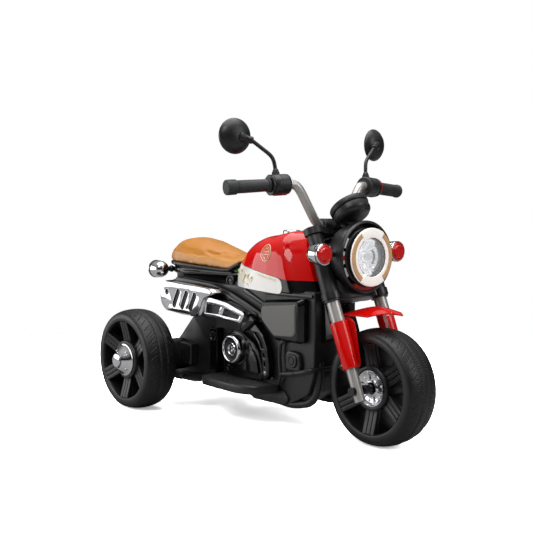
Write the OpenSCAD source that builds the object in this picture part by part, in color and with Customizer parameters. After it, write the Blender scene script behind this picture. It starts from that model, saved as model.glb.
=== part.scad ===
// Ride-on toy motorcycle with three wheels: +X is the nose, +Y the rider's left, +Z up.
// The origin is on the ground, halfway between the two axles.

/* [Wheels] */
// Distance between the front axle and the rear axle
wheel_base = 714; // [690:1:860]
// Radius of every wheel over its tyre
wheel_r = 135; // [125:1:162]
// Width of every tyre
wheel_w = 90; // [75:1:108]
// Radius where the tyre seats on the rim
tyre_seat_r = 112; // [100:1:116]
// Distance between the middle planes of the two rear wheels
rear_track = 412; // [343:1:500]
// Radius of the rear axle
rear_axle_r = 6; // [4:0.5:8]
// Radius of the front axle bolt
front_axle_r = 6; // [4:0.5:8]
// Number of spokes in a rim
spoke_count = 6; // [5:1:8]
// Width of a spoke
spoke_w = 34; // [24:1:38]

/* [Fork and steering] */
// Lean of the steering axis from the vertical, in degrees
rake = 22.4; // [18:0.1:27]
// Distance of the fork legs ahead of the steering axis
fork_offset = 36; // [32:1:44]
// Half the distance between the two fork legs
fork_half = 78; // [72:1:94]
// Radius of the slim lower fork tube
lower_tube_r = 12.5; // [11:0.5:14]
// Radius of the upper fork tube
upper_tube_r = 15.5; // [15:0.5:17]
// Radius of the steering stem
stem_r = 10; // [8:0.5:12]
// Outer radius of the head bushes
bush_r = 15; // [13:0.5:16]

/* [Handlebar] */
// Radius of the handlebar tube
bar_r = 11; // [9:0.5:13]
// Half the span over both grip ends
bar_half = 286.5; // [250:0.5:320]
// Radius of a switch housing
switch_r = 24; // [22:0.5:28]
// Length of a switch housing along the bar
switch_len = 48; // [40:1:58]
// Radius of a hand grip
grip_r = 14; // [14:0.5:17]
// Radius of a mirror
mirror_r = 41; // [34:1:49]
// Radius of the mirror's ball
ball_r = 6; // [5:0.5:7]
// Travel of the push buttons
button_travel = 2.5; // [1.5:0.5:4]

/* [Lamps] */
// Radius of the headlamp bucket
lamp_r = 81; // [70:1:86]
// Radius of the glass ring in front of the bucket
lens_r = 68.5; // [60:0.5:72]
// Radius of a turn signal
signal_r = 24; // [20:0.5:27]
// Radius of the gauge pod
gauge_r = 47; // [40:1:52]

/* [Body] */
// Half the width of the lower body
body_half = 72; // [66:1:76]
// Half the width of the frame between the gearboxes
tail_frame_half = 60; // [50:1:64]
// Half the width of the tank at its widest
tank_half = 93; // [84:1:100]
// Wall thickness of the tank cover and its side strips
tank_wall = 4; // [2.5:0.5:6]
// Half the width of the saddle at its widest
seat_half = 84; // [76:1:92]
// Height of the saddle's crown above its base
seat_crown = 73; // [60:1:84]
// Radius of the gearbox drums on the rear axle
drum_r = 47; // [40:1:47]
// Thickness of the footrests
rest_t = 23; // [18:1:28]
// Half the width over both footrests
rest_half = 158; // [140:1:180]

/* [Inside] */
// Length of the battery
battery_l = 151; // [120:1:160]
// Width of the battery
battery_w = 65; // [50:1:80]
// Height of the battery
battery_h = 94; // [70:1:112]
// Radius of the charging socket's hole
socket_r = 2.75; // [2.5:0.05:3.5]
// Depth of the charging socket's hole
socket_depth = 9.5; // [8:0.5:12]

/* [Hidden] */
$fn = 64;

run_gap = 0.05;        // radial clearance of a shaft that turns in a bore
free_gap = 0.3;        // space between parts that move past each other
slip_gap = 1.5;        // space round the battery and the board
front_x = wheel_base / 2;
rear_x = -wheel_base / 2;
rear_y = rear_track / 2;

// Wheel sizes, out from the axle
hub_half = wheel_w / 2 - 7;
hub_r = 52;
dish_r = 41.5;
dish_depth = 8;
barrel_wall = 9;
flange_r = tyre_seat_r + 7;
flange_t = 4;
tyre_wall = 6;
spoke_half = 28;
groove_w = 3;
groove_depth = 5;
cap_hole_r = 19.5;
dome_rise = 24;        // how far the rear hub dome stands out of its dish

// Steering sizes, along the steering axis from the height of the axle
neck_lo = 232;
neck_hi = 371;
neck_r = bush_r + 6;
neck_back = 29;
bush_flange_t = 2;
bush_len = 16;
yoke_t = 16;
cover_wall = 2.5;
cover_r = upper_tube_r + cover_wall;
cover_lo = 209;
tube_step = 110;
tube_lo = -28;
shroud_lo = 51;
shroud_hi = 160;
shroud_wall = 2.5;
lower_yoke_top = neck_lo - bush_flange_t - free_gap;
upper_yoke_lo = neck_hi + bush_flange_t + free_gap;

// Handlebar path on the left side: clamp, lower bend, upper bend, grip end
bar_mid = [188, 0, 365];
bar_low = [188, 46, 365];
bar_knee = [183, 100, 458];
bar_top = [177, 116, 464];
bar_end = [145, bar_half - 6, 453.5];
bend_swell = 0.4;
clamp_half = 28;
grip_in = 175;
bar_dir = (bar_end - bar_top) / norm(bar_end - bar_top);
switch_mid = 150;

// Mirror stalk and ball on the left side
stalk_r = 4.5;
stalk_foot = [160, 149.5, 482];
stalk_bend = [154, 155, 527];
ball_at = [137, 203, 563];
mirror_at = [113, 231, 573];
toe_in = 9;
glass_r = mirror_r - 3.5;
socket_wall = 4.5;

// Lamps
lamp_x = front_x - 46;
lamp_h = 295;
lamp_wall = 3;
signal_h = 304;
signal_y = 121;
signal_front_x = front_x - 64.5;
signal_wall = 2.5;
rear_signal_x = rear_x - 40;
rear_signal_y = 92;
rear_signal_h = 237;

// Heights in the body, above the axles
deck_h = 206;          // where the tank and tail sit on the body shells
seat_h = 254;          // underside of the saddle
rest_top = -25;        // top of the footrests
shell_wall = 4;
battery_floor = -50;
battery_x = 20;
board_floor = 120;
board_x = 60;
board_size = [90, 54, 14];
cap_x = 48;
cap_h = 346;
clutch_x = -67;
clutch_h = 48;
cover_t = 12;
panel_y = 96;
muffler_y = [78, 118];
shield_y = [84, 112];
screw_r = 1.8;
screw_head_r = 4;
screw_len = 14;
// Places of the screws that hold the engine covers, as x and height
screw_spots = [[50, 8], [-22, 108], [-104, -8]];

// ---- Helpers -----------------------------------------------------------------------------

// Lifts a piece from heights above the axles to heights above the ground
module on_axle() { translate([0, 0, wheel_r]) children(); }

// Draws a piece and its mirror image across the middle plane
module both() { children(); mirror([0, 1, 0]) children(); }

// Keeps the rider's right half
module right_half() {
    intersection() { children(); translate([-600, -400, -300]) cube([1200, 400, 1200]); }
}

// Stands a piece on the steering axis: z runs up the axis, x points ahead of it
module on_steering() {
    translate([front_x - fork_offset * cos(rake), 0, -fork_offset * sin(rake)])
        rotate([0, -rake, 0]) children();
}

// A plate in the side view, between two distances from the middle plane
module side_plate(y0, y1, points) {
    translate([0, y1, 0]) rotate([90, 0, 0]) linear_extrude(y1 - y0) polygon(points);
}

// A plate in the plan view, from a half outline of x and half width
module plan_plate(h0, h1, half, inset = 0) {
    right = [for (p = half) [p[0], -max(p[1] - inset, 0.5)]];
    left = [for (i = [len(half) - 1:-1:0]) [half[i][0], max(half[i][1] - inset, 0.5)]];
    translate([0, 0, h0]) linear_extrude(h1 - h0) polygon(concat(right, left));
}

// A beam whose front view is a half outline of half width and height
module front_beam(x0, x1, half, inset = 0) {
    right = [for (p = half) [-max(p[0] - inset, 0), p[1]]];
    left = [for (i = [len(half) - 1:-1:0]) [max(half[i][0] - inset, 0), half[i][1]]];
    translate([x0, 0, 0]) rotate([90, 0, 90]) linear_extrude(x1 - x0) polygon(concat(right, left));
}

// A round bar from a to b
module rod(a, b, r) {
    v = b - a;
    translate(a) rotate([0, acos(v[2] / norm(v)), atan2(v[1], v[0])]) cylinder(h = norm(v), r = r);
}

// A cylinder along Y, between two distances from the middle plane
module pin_y(y0, y1, r) { translate([0, y0, 0]) rotate([-90, 0, 0]) cylinder(h = y1 - y0, r = r); }

// A ring along Y
module ring_y(y0, y1, r_in, r_out) {
    translate([0, y0, 0]) rotate([-90, 0, 0]) difference() {
        cylinder(h = y1 - y0, r = r_out);
        translate([0, 0, -1]) cylinder(h = y1 - y0 + 2, r = r_in);
    }
}

// A slot with round ends from a to b in the side view
module slot_y(y0, y1, a, b, r) {
    lean = atan2(b[1] - a[1], b[0] - a[0]);
    side_plate(y0, y1, concat(
        [for (k = [-90:15:90]) b + r * [cos(lean + k), sin(lean + k)]],
        [for (k = [90:15:270]) a + r * [cos(lean + k), sin(lean + k)]]));
}

// Stands a piece on the left end of the bar, z pointing outwards along it
function bar_point(y) = bar_top + bar_dir * ((y - bar_top[1]) / bar_dir[1]);
module on_bar(y) {
    translate(bar_point(y)) rotate([0, acos(bar_dir[2]), atan2(bar_dir[1], bar_dir[0])]) children();
}

// ---- Wheels ------------------------------------------------------------------------------

module rim(axle_r) {
    barrel_in = tyre_seat_r - barrel_wall;
    color("#1d1d1f") rotate([-90, 0, 0]) difference() {
        union() {
            rotate_extrude() polygon([
                [barrel_in, -wheel_w / 2 + 1], [flange_r, -wheel_w / 2 + 1],
                [flange_r, -wheel_w / 2 + 1 + flange_t], [tyre_seat_r, -wheel_w / 2 + 1 + flange_t],
                [tyre_seat_r, wheel_w / 2 - 1 - flange_t], [flange_r, wheel_w / 2 - 1 - flange_t],
                [flange_r, wheel_w / 2 - 1], [barrel_in, wheel_w / 2 - 1]]);
            cylinder(h = 2 * hub_half, r = hub_r, center = true);
            for (i = [0:spoke_count - 1]) rotate(i * 360 / spoke_count + 30)
                translate([hub_r - 4, -spoke_w / 2, -spoke_half])
                    cube([barrel_in - hub_r + 6, spoke_w, 2 * spoke_half]);
        }
        for (s = [-1, 1]) {
            translate([0, 0, s * (hub_half - dish_depth / 2 + 0.5)])
                cylinder(h = dish_depth + 1, r = dish_r, center = true);
            for (i = [0:spoke_count - 1], g = [-1, 1]) rotate(i * 360 / spoke_count + 30)
                translate([hub_r + 6, g * spoke_w / 6 - groove_w / 2, s * spoke_half - groove_depth / 2])
                    cube([barrel_in - hub_r - 12, groove_w, groove_depth]);
        }
        cylinder(h = wheel_w + 2, r = axle_r + run_gap, center = true);
    }
}

module tyre() {
    bead = wheel_w / 2 - 1 - flange_t;
    inner = wheel_w / 2 - tyre_wall - 8;
    half = [[wheel_r - tyre_wall, 0], [wheel_r - tyre_wall, inner - 12], [wheel_r - tyre_wall - 6, inner],
        [tyre_seat_r, inner], [tyre_seat_r, bead], [flange_r, bead], [flange_r, wheel_w / 2],
        [wheel_r - 9, wheel_w / 2 - 1], [wheel_r - 4.5, wheel_w / 2 - 7],
        [wheel_r - 1.5, wheel_w / 2 - 17], [wheel_r, wheel_w / 2 - 33], [wheel_r, 0]];
    back = [for (i = [len(half) - 2:-1:1]) [half[i][0], -half[i][1]]];
    color("#232324") rotate([-90, 0, 0]) rotate_extrude() polygon(concat(half, back));
}

module front_hub_dish() {
    color("#d8d8da") ring_y(hub_half - dish_depth, hub_half - 1, 13.5, dish_r);
}

module rear_hub_dome() {
    color("#d8d8da") translate([0, hub_half - dish_depth, 0]) rotate([-90, 0, 0])
        rotate_extrude() polygon([[cap_hole_r, 0], [dish_r, 0], [dish_r, dish_depth + 1],
            [dish_r - 8, dish_depth + dome_rise * 0.4], [cap_hole_r + 5, dish_depth + dome_rise * 0.85],
            [cap_hole_r, dish_depth + dome_rise]]);
}

module front_rim() { translate([front_x, 0, 0]) rim(front_axle_r); }
module front_tyre() { translate([front_x, 0, 0]) tyre(); }
module front_hub_caps() { translate([front_x, 0, 0]) both() front_hub_dish(); }
module at_left_wheel() { translate([rear_x, rear_y, 0]) children(); }
module at_right_wheel() { translate([rear_x, -rear_y, 0]) children(); }
module rear_rim_right() { at_right_wheel() rim(rear_axle_r); }
module rear_tyre_right() { at_right_wheel() tyre(); }
module rear_hub_cap_right() { mirror([0, 1, 0]) rear_hub_cap_left(); }
module rear_rim_left() { at_left_wheel() rim(rear_axle_r); }
module rear_tyre_left() { at_left_wheel() tyre(); }
module rear_hub_cap_left() { at_left_wheel() rear_hub_dome(); }

// ---- Rear axle and drive -----------------------------------------------------------------

nut_in = rear_y + hub_half - dish_depth + free_gap;
nut_out = nut_in + dish_depth + dome_rise + 6;

module rear_axle() {
    color("#8b8d90") translate([rear_x, 0, 0]) pin_y(-nut_in - 11, nut_in + 11, rear_axle_r);
}

module rear_axle_nuts() {
    nut_r = cap_hole_r - 1;
    color("#d8d8da") both() translate([rear_x, 0, 0]) difference() {
        union() {
            pin_y(nut_in, nut_out - 4, nut_r);
            translate([0, nut_out - 4, 0]) rotate([-90, 0, 0])
                cylinder(h = 4, r1 = nut_r, r2 = nut_r - 5);
        }
        pin_y(nut_in - 1, nut_in + 11, rear_axle_r);
    }
}

module gearbox() {
    outer = rear_y - wheel_w / 2 - 1;
    color("#1b1b1d") translate([rear_x, 0, 0]) difference() {
        union() {
            pin_y(tail_frame_half, outer - 12, drum_r - 3);
            pin_y(outer - 12, outer, drum_r);
            translate([20, tail_frame_half, -22]) cube([60, 22, 58]);
        }
        pin_y(tail_frame_half - 1, outer + 1, rear_axle_r);
    }
}
module gearbox_left() { gearbox(); }
module gearbox_right() { mirror([0, 1, 0]) gearbox(); }

// ---- Body shells -------------------------------------------------------------------------

module body_block() {
    difference() {
        solid_block();
        hollow_block();
    }
    // trays that hold the battery and the control board
    intersection() {
        solid_block();
        union() {
            battery_space(slip_gap + shell_wall);
            translate([battery_x - battery_l / 2, -battery_w / 2, -80]) cube([battery_l, battery_w, 40]);
            translate([board_x - board_size[0] / 2 - 6, -body_half, board_floor - shell_wall])
                cube([board_size[0] + 12, 2 * body_half, board_size[2] + 2 * shell_wall]);
        }
    }
    // raised blocks that carry the side panels, and the plates behind the engine covers
    both() {
        side_plate(body_half - 1, panel_y, [[34, 134], [34, 172], [180, 190], [182, 92],
            [84, 88]]);
        side_plate(tail_frame_half - 1, 90, [[-178, -21], [-150, -21], [-150, 91], [-178, 91]]);
    }
    // tray under the gearboxes
    translate([rear_x - 28, -125, -54]) cube([190, 250, 5]);
}

// The room inside the shells, one wall in from the outside
module hollow_block() {
    w = shell_wall;
    side_plate(w - body_half, body_half - w, [[-178 + w, -50 + w], [-60, -62 + w], [-24, -73 + w],
        [108, -71 + w], [178, -36 + w], [200 - w, 11], [206 - w, 110], [206 - w, deck_h - w],
        [-95, deck_h - w], [-149, deck_h - w], [-178 + w, 130]]);
    side_plate(w - tail_frame_half, tail_frame_half - w, [[-166, -50 + w], [rear_x - 28 + w, -50 + w],
        [rear_x - 28 + w, 27], [rear_x + 22 + w, 68], [rear_x + 66 + w, 114], [rear_x - 43 + w, 168],
        [rear_x - 48 + w, deck_h - w], [-166, deck_h - w]]);
}

module solid_block() {
    side_plate(-body_half, body_half, [[-178, -50], [-60, -62], [-24, -73], [109, -71],
        [180, -36], [200, 10], [206, 110], [206, deck_h], [-95, deck_h], [-150, deck_h],
        [-178, 130]]);
    // frame between the gearboxes, reaching back under the tail
    side_plate(-tail_frame_half, tail_frame_half, [[-170, -50], [rear_x - 28, -50],
        [rear_x - 28, 28], [rear_x + 21, 70], [rear_x + 64, 112], [rear_x - 43, 165],
        [rear_x - 48, deck_h], [-170, deck_h]]);
}

module neck_block() {
    intersection() {
        on_steering() translate([-110, -50, 140]) cube([86, 100, 200]);
        translate([0, -100, -100]) cube([400, 200, 100 + deck_h]);
    }
    on_steering() {
        translate([0, 0, neck_lo]) cylinder(h = neck_hi - neck_lo, r = neck_r);
        translate([-neck_back, -18, neck_lo]) cube([neck_back, 36, neck_hi - neck_lo]);
    }
}

module battery_space(gap) {
    translate([battery_x - battery_l / 2 - gap, -battery_w / 2 - gap, battery_floor])
        cube([battery_l + 2 * gap, battery_w + 2 * gap, battery_h + gap]);
}

module board_space(gap) {
    translate([board_x - board_size[0] / 2 - gap, -board_size[1] / 2 - gap, board_floor])
        cube([board_size[0] + 2 * gap, board_size[1] + 2 * gap, board_size[2] + gap]);
}

module screw_shanks() {
    for (p = screw_spots) translate([p[0], 0, p[1]])
        pin_y(body_half + cover_t - screw_len, body_half + cover_t, screw_r);
}

module body_shell() {
    color("#161617") right_half() difference() {
        union() { body_block(); neck_block(); }
        battery_space(slip_gap);
        board_space(slip_gap);
        on_steering() translate([0, 0, neck_lo - 1]) cylinder(h = neck_hi - neck_lo + 2, r = bush_r);
        translate([rear_x, 0, 0]) pin_y(-200, 200, rear_axle_r);
        both() screw_shanks();
        // opening in the tray
        translate([rear_x + 40, -118, -60]) cube([70, 50, 20]);
        // bores for the muffler stubs
        for (p = muffler_stubs) translate([p[0], 0, p[1]]) pin_y(-200, -tail_frame_half + 6, stub_r);
    }
}
module body_shell_right() { body_shell(); }
module body_shell_left() { mirror([0, 1, 0]) body_shell(); }

module battery() { color("#3d4650") battery_space(0); }
module control_board() { color("#2f6b3c") board_space(0); }

module shell_screws() {
    color("#b9bbbd") both() {
        screw_shanks();
        for (p = screw_spots) translate([p[0], 0, p[1]])
            pin_y(body_half + cover_t, body_half + cover_t + 2.5, screw_head_r);
    }
}

// ---- Tank --------------------------------------------------------------------------------

tank_front = neck_back + 0.5;
tank_rear_x = -102;
tank_edge = [[-110, 271], [-81, 267], [112, 239], [140, 235], [240, 234]];

// The tank's outer form, drawn in by an inset for the inside of its wall
module tank_form(inset) {
    intersection() {
        side_plate(-tank_half, tank_half, [
            [tank_rear_x + inset, deck_h], [tank_rear_x + inset, 262], [-88 + inset, 290 - inset],
            [-66, 312 - inset], [-35, 330 - inset], [10, 345 - inset], [57, 350 - inset],
            [110, 352 - inset], [160, 350 - inset], [260, 330 - inset], [260, deck_h]]);
        plan_plate(deck_h, 400, [[tank_rear_x, 44], [-80, 62], [-50, tank_half - 18],
            [0, tank_half - 7], [60, tank_half], [110, tank_half - 6], [150, tank_half - 23],
            [180, 56], [240, 50]], inset);
        front_beam(-200, 300, [[tank_half - 2, deck_h], [tank_half, 250], [tank_half - 5, 285],
            [tank_half - 17, 312], [tank_half - 36, 334], [tank_half - 60, 347], [0, 352 - inset]],
            inset);
        on_steering() translate([-500, -200, -100]) cube([500 - tank_front - inset, 400, 800]);
    }
}

module above_edge() { side_plate(-120, 120, concat(tank_edge, [[240, 420], [-110, 420]])); }
module below_edge() { side_plate(-120, 120, concat(tank_edge, [[240, 150], [-110, 150]])); }

module tank_cover() {
    color("#c4120f") difference() {
        union() {
            difference() {
                intersection() { tank_form(0); above_edge(); }
                tank_form(tank_wall);
            }
            intersection() {
                tank_form(0);
                translate([cap_x, 0, cap_h - 8]) cylinder(h = 20, r = 24);
            }
        }
        translate([cap_x, 0, cap_h]) cylinder(h = 20, r = 20 + free_gap);
        translate([cap_x, 0, cap_h - 12]) cylinder(h = 20, r = 12);
    }
}

module tank_strips() {
    color("#ece9e6") both() intersection() {
        difference() { tank_form(0); tank_form(tank_wall); }
        below_edge();
        side_plate(20, 120, [[tank_rear_x + tank_wall + 1, deck_h], [tank_rear_x + tank_wall + 1, 280],
            [112, 280], [112, 239], [119, 220], [112, deck_h]]);
    }
}

module tank_cap() {
    color("#cfcfd1") translate([cap_x, 0, cap_h]) {
        cylinder(h = 8, r = 20);
        translate([0, 0, -8]) cylinder(h = 8.5, r = 12 - free_gap);
    }
}

// ---- Tail, saddle and what is fixed to them ----------------------------------------------

tail_half = [[-95, 44], [-150, 52], [-200, 62], [-260, seat_half - 8], [-320, seat_half],
    [-370, seat_half - 5], [-402, seat_half - 24], [-422, seat_half - 50], [-431, 8]];
tail_side_x = -150;
tail_wall_y = 38;
rocker_r = 12;
rocker_len = 18;
rocker_at = [-190, 34, 228];
socket_x = -235;
socket_body_r = 8;
socket_face = 46;

module upper_cover() {
    color("#19191a") difference() {
        union() {
            // tail tray with its lip under the saddle
            plan_plate(seat_h - 6, seat_h, tail_half);
            intersection() {
                plan_plate(deck_h, seat_h, tail_half, 14);
                side_plate(-120, 120, [[-95, deck_h], [rear_x - 38, deck_h], [rear_x - 66, 222],
                    [rear_x - 72, seat_h], [-95, seat_h]]);
            }
            // wedge between the saddle's nose and the tank
            side_plate(-38, 38, [[-134, seat_h], [tank_rear_x - 3, 282], [tank_rear_x - 0.5, 282],
                [tank_rear_x - 0.5, seat_h]]);
            // base of the tank, and the flush black part ahead of the side strips
            intersection() { tank_form(tank_wall); below_edge(); }
            intersection() {
                tank_form(0);
                below_edge();
                difference() {
                    translate([0, -200, 0]) cube([400, 400, 400]);
                    side_plate(-120, 120, [[-50, 0], [112, 0], [112, deck_h], [119, 220],
                        [112, 239], [112, 300], [-50, 300]]);
                }
            }
            // stalks of the rear turn signals
            both() translate([rear_signal_x - 18, 0, rear_signal_h])
                pin_y(40, rear_signal_y - signal_r + 1, 6);
        }
        translate([rocker_at[0], 0, rocker_at[2]]) rocker_pocket();
        translate([socket_x, 0, 228]) pin_y(20, 200, socket_body_r);
        both() rear_signal_room();
        // room inside the tail and under the tank, open below
        translate([rear_x - 40, -17, deck_h - 1]) cube([260, 34, 38]);
        translate([-80, -50, deck_h - 1]) cube([220, 100, 26]);
    }
}

module rear_signal_room() {
    translate([rear_signal_x, rear_signal_y, rear_signal_h]) rotate([0, -90, 0])
        translate([0, 0, -2]) cylinder(h = 60, r = signal_r);
}

// Pocket and pin holes of the power rocker, in the tail's left wall
module rocker_pocket() {
    translate([-rocker_len / 2 - free_gap, rocker_at[1], 0]) rotate([0, 90, 0])
        cylinder(h = rocker_len + 2 * free_gap, r = rocker_r + free_gap);
    translate([-rocker_len / 2 - 4, rocker_at[1], 0]) rotate([0, 90, 0])
        cylinder(h = rocker_len + 8, r = 1.5 + run_gap);
    translate([-rocker_len / 2 - free_gap, rocker_at[1], -rocker_r - free_gap])
        cube([rocker_len + 2 * free_gap, 60, 2 * (rocker_r + free_gap)]);
}

module power_rocker() {
    color("#b01712") translate(rocker_at) {
        translate([-rocker_len / 2, 0, 0]) rotate([0, 90, 0]) cylinder(h = rocker_len, r = rocker_r);
        translate([-rocker_len / 2 - 3.5, 0, 0]) rotate([0, 90, 0])
            cylinder(h = rocker_len + 7, r = 1.5);
    }
}

module charge_socket() {
    color("#2a2a2c") translate([socket_x, 0, 228]) difference() {
        pin_y(30, socket_face, socket_body_r);
        pin_y(socket_face - socket_depth, socket_face + 1, socket_r);
    }
}

module seat_pad() {
    top = seat_h + seat_crown;
    color("#c08538") intersection() {
        plan_plate(seat_h, top, tail_half, 2);
        side_plate(-120, 120, [[-134, seat_h], [-108, 283], [-114, 288], [-150, 289], [-182, 297],
            [-228, top - 17], [-281, top - 6], [-335, top], [-380, top - 4], [-410, top - 20],
            [-426, top - 44], [-431, seat_h]]);
        front_beam(-450, 0, [[seat_half, seat_h], [seat_half, seat_h + 24],
            [seat_half - 8, top - 24], [seat_half - 30, top - 8], [0, top]]);
    }
}

// ---- Engine dress-up ---------------------------------------------------------------------

module engine_covers() {
    color("#1a1a1c") both() difference() {
        union() {
            side_plate(body_half, body_half + cover_t, [[-118, -20], [-122, 40], [-112, 80],
                [-88, 96], [-56, 100], [-30, 120], [4, 118], [36, 93], [53, 60], [59, 26],
                [58, -5], [50, -20]]);
            translate([clutch_x, 0, clutch_h]) pin_y(body_half, body_half + cover_t + 16, 28);
        }
        screw_shanks();
        slot_y(body_half + cover_t - 4, body_half + cover_t + 1, [6, 92], [32, 58], 4);
    }
}

module clutch_rings() {
    color("#d8d8da") both() translate([clutch_x, 0, clutch_h])
        ring_y(body_half + cover_t, body_half + cover_t + 26, 28, 37);
}

module side_panels() {
    color("#5f5e5d") both() side_plate(panel_y, panel_y + 4, [[45, 134], [42, 162], [50, 168],
        [168, 181], [168, 110], [160, 102], [89, 97]]);
}

muffler_stubs = [[-330, 160], [-215, 160]];
stub_r = 7;

module mufflers() {
    color("#dcdcde") both() {
        difference() {
            side_plate(muffler_y[0], muffler_y[1], [[-368, 209], [-380, 172], [-376, 144],
                [-353, 126], [-280, 119], [-196, 121], [-180, 141], [-166, 172], [-126, 187],
                [-143, 198], [-226, 206], [-307, 209]]);
            for (i = [0:2]) slot_y(muffler_y[1] - 8, muffler_y[1] + 1,
                [-308 + 38 * i, 143 - 2 * i], [-284 + 38 * i, 186 - 3 * i], 7);
            translate([-341, 0, 179]) pin_y(muffler_y[1] - 8, muffler_y[1] + 1, 8);
        }
        for (p = muffler_stubs) translate([p[0], 0, p[1]])
            pin_y(tail_frame_half - 6, muffler_y[0] + 1, stub_r);
    }
}

module heat_shields() {
    color("#dcdcde") both() {
        difference() {
            side_plate(shield_y[0], shield_y[1], [[-160, 170], [-82, 163], [-12, 145], [-26, 122],
                [-83, 126], [-152, 127], [-174, 129], [-172, 141]]);
            side_plate(shield_y[0] - 1, shield_y[1] + 1, [[-156, 157], [-102, 153], [-114, 137],
                [-163, 136]]);
            side_plate(shield_y[0] - 1, shield_y[1] + 1, [[-86, 150], [-26, 138], [-34, 129],
                [-96, 136]]);
        }
        translate([-94, 0, 158]) pin_y(body_half, shield_y[0] + 1, 5);
    }
}

module footrests() {
    color("#2b2b2d") both() difference() {
        translate([0, 0, rest_top - rest_t]) linear_extrude(rest_t) polygon([[-172, body_half],
            [-150, rest_half - 20], [-136, rest_half - 10], [-110, rest_half - 6],
            [15, rest_half], [45, rest_half - 8], [68, rest_half - 22], [84, body_half]]);
        side_plate(tail_frame_half - 1, 90, [[-178, -21], [-150, -21], [-150, 91], [-178, 91]]);
    }
}

// ---- Fork and steering -------------------------------------------------------------------

module head_bushes() {
    color("#d9d2c0") on_steering() difference() {
        union() {
            translate([0, 0, neck_lo]) cylinder(h = bush_len, r = bush_r);
            translate([0, 0, neck_lo - bush_flange_t]) cylinder(h = bush_flange_t, r = bush_r + 4);
            translate([0, 0, neck_hi - bush_len]) cylinder(h = bush_len, r = bush_r);
            translate([0, 0, neck_hi]) cylinder(h = bush_flange_t, r = bush_r + 4);
        }
        cylinder(h = 600, r = stem_r + run_gap);
    }
}

// A yoke plate round the stem and both legs, from one height up
module yoke_plate(s0) {
    translate([0, 0, s0]) linear_extrude(yoke_t) union() {
        circle(r = stem_r + 12);
        for (s = [-1, 1]) translate([fork_offset, s * fork_half]) circle(r = cover_r + 5);
        polygon([[-12, -20], [fork_offset - 14, -fork_half], [fork_offset + 16, -fork_half],
            [fork_offset + 6, -20], [fork_offset + 6, 20], [fork_offset + 16, fork_half],
            [fork_offset - 14, fork_half], [-12, 20]]);
    }
}

module fork_stem() {
    color("#222224") on_steering() difference() {
        union() {
            translate([0, 0, lower_yoke_top - yoke_t]) cylinder(
                h = upper_yoke_lo + yoke_t - lower_yoke_top + yoke_t, r = stem_r);
            yoke_plate(lower_yoke_top - yoke_t);
        }
        for (s = [-1, 1]) translate([fork_offset, s * fork_half, 0]) cylinder(h = 600, r = cover_r);
    }
}

module upper_yoke() {
    color("#222224") difference() {
        union() {
            on_steering() {
                yoke_plate(upper_yoke_lo);
                translate([4, -clamp_half, upper_yoke_lo + yoke_t - 1]) cube([30, 2 * clamp_half, 27]);
            }
            // post that carries the gauge pod
            rod([200, 0, 372], gauge_foot, 9);
        }
        on_steering() translate([0, 0, upper_yoke_lo - 1]) cylinder(h = yoke_t + 1, r = stem_r);
        translate(bar_mid) pin_y(-200, 200, bar_r);
        translate(gauge_at) rotate([0, -gauge_tilt, 0]) translate([0, 0, -gauge_half - 1])
            cylinder(h = 80, r = gauge_r);
    }
}

module fork_covers() {
    color("#252527") on_steering() both() translate([fork_offset, fork_half, 0]) difference() {
        translate([0, 0, cover_lo]) cylinder(h = upper_yoke_lo - cover_lo, r = cover_r);
        cylinder(h = 600, r = upper_tube_r);
    }
}

module fork_tubes() {
    color("#a9abad") on_steering() both() translate([fork_offset, fork_half, 0]) difference() {
        union() {
            translate([0, 0, tube_lo]) cylinder(h = tube_step - tube_lo, r = lower_tube_r);
            translate([0, 0, tube_step]) cylinder(h = upper_yoke_lo - tube_step, r = upper_tube_r);
        }
        pin_y(-60, 60, front_axle_r);
    }
}

module front_axle() {
    inner = hub_half + 0.5;
    color("#3a3b3d") translate([front_x, 0, 0]) {
        pin_y(-fork_half - lower_tube_r - 2, fork_half + lower_tube_r + 2, front_axle_r);
        both() {
            pin_y(fork_half + lower_tube_r, fork_half + lower_tube_r + 8, 10);
            pin_y(inner, fork_half - lower_tube_r, 11);
        }
    }
}

guard_half = fork_half - 24;
module front_mudguard() {
    plate_r = 2.5;
    // ridge points, then the edge points on the left
    back = [front_x - 75, 0, 168];
    ridge = [front_x - 5, 0, 182];
    tip = [front_x + 65, 0, 171];
    edge_front = [front_x + 14, guard_half, 156];
    edge_back = [front_x - 71, guard_half, 160];
    skirt_front = [front_x - 2, guard_half, 128];
    skirt_back = [front_x - 46, guard_half, 134];
    shroud_in = upper_tube_r + 0.2;
    color("#d0120e") {
        both() {
            hull() for (p = [back, ridge, edge_front, edge_back])
                translate(p) sphere(r = plate_r, $fn = 16);
            hull() for (p = [ridge, tip, edge_front]) translate(p) sphere(r = plate_r, $fn = 16);
            hull() for (p = [edge_back, edge_front, skirt_front, skirt_back])
                translate(p) sphere(r = plate_r, $fn = 16);
        }
        on_steering() both() difference() {
            union() {
                translate([fork_offset, fork_half, shroud_lo]) cylinder(h = shroud_hi - shroud_lo,
                    r1 = shroud_in + shroud_wall - 0.7, r2 = shroud_in + shroud_wall + 2.5);
                translate([fork_offset - 14, guard_half - 2, shroud_hi - 32])
                    cube([28, fork_half - guard_half, 30]);
            }
            translate([fork_offset, fork_half, 0]) cylinder(h = 300, r = shroud_in);
        }
    }
}

// ---- Headlamp ----------------------------------------------------------------------------

// Turns a profile of radius and depth round the lamp's axis
module lamp_turn(points) {
    translate([lamp_x, 0, lamp_h]) rotate([0, 90, 0]) rotate_extrude() polygon(points);
}

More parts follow.
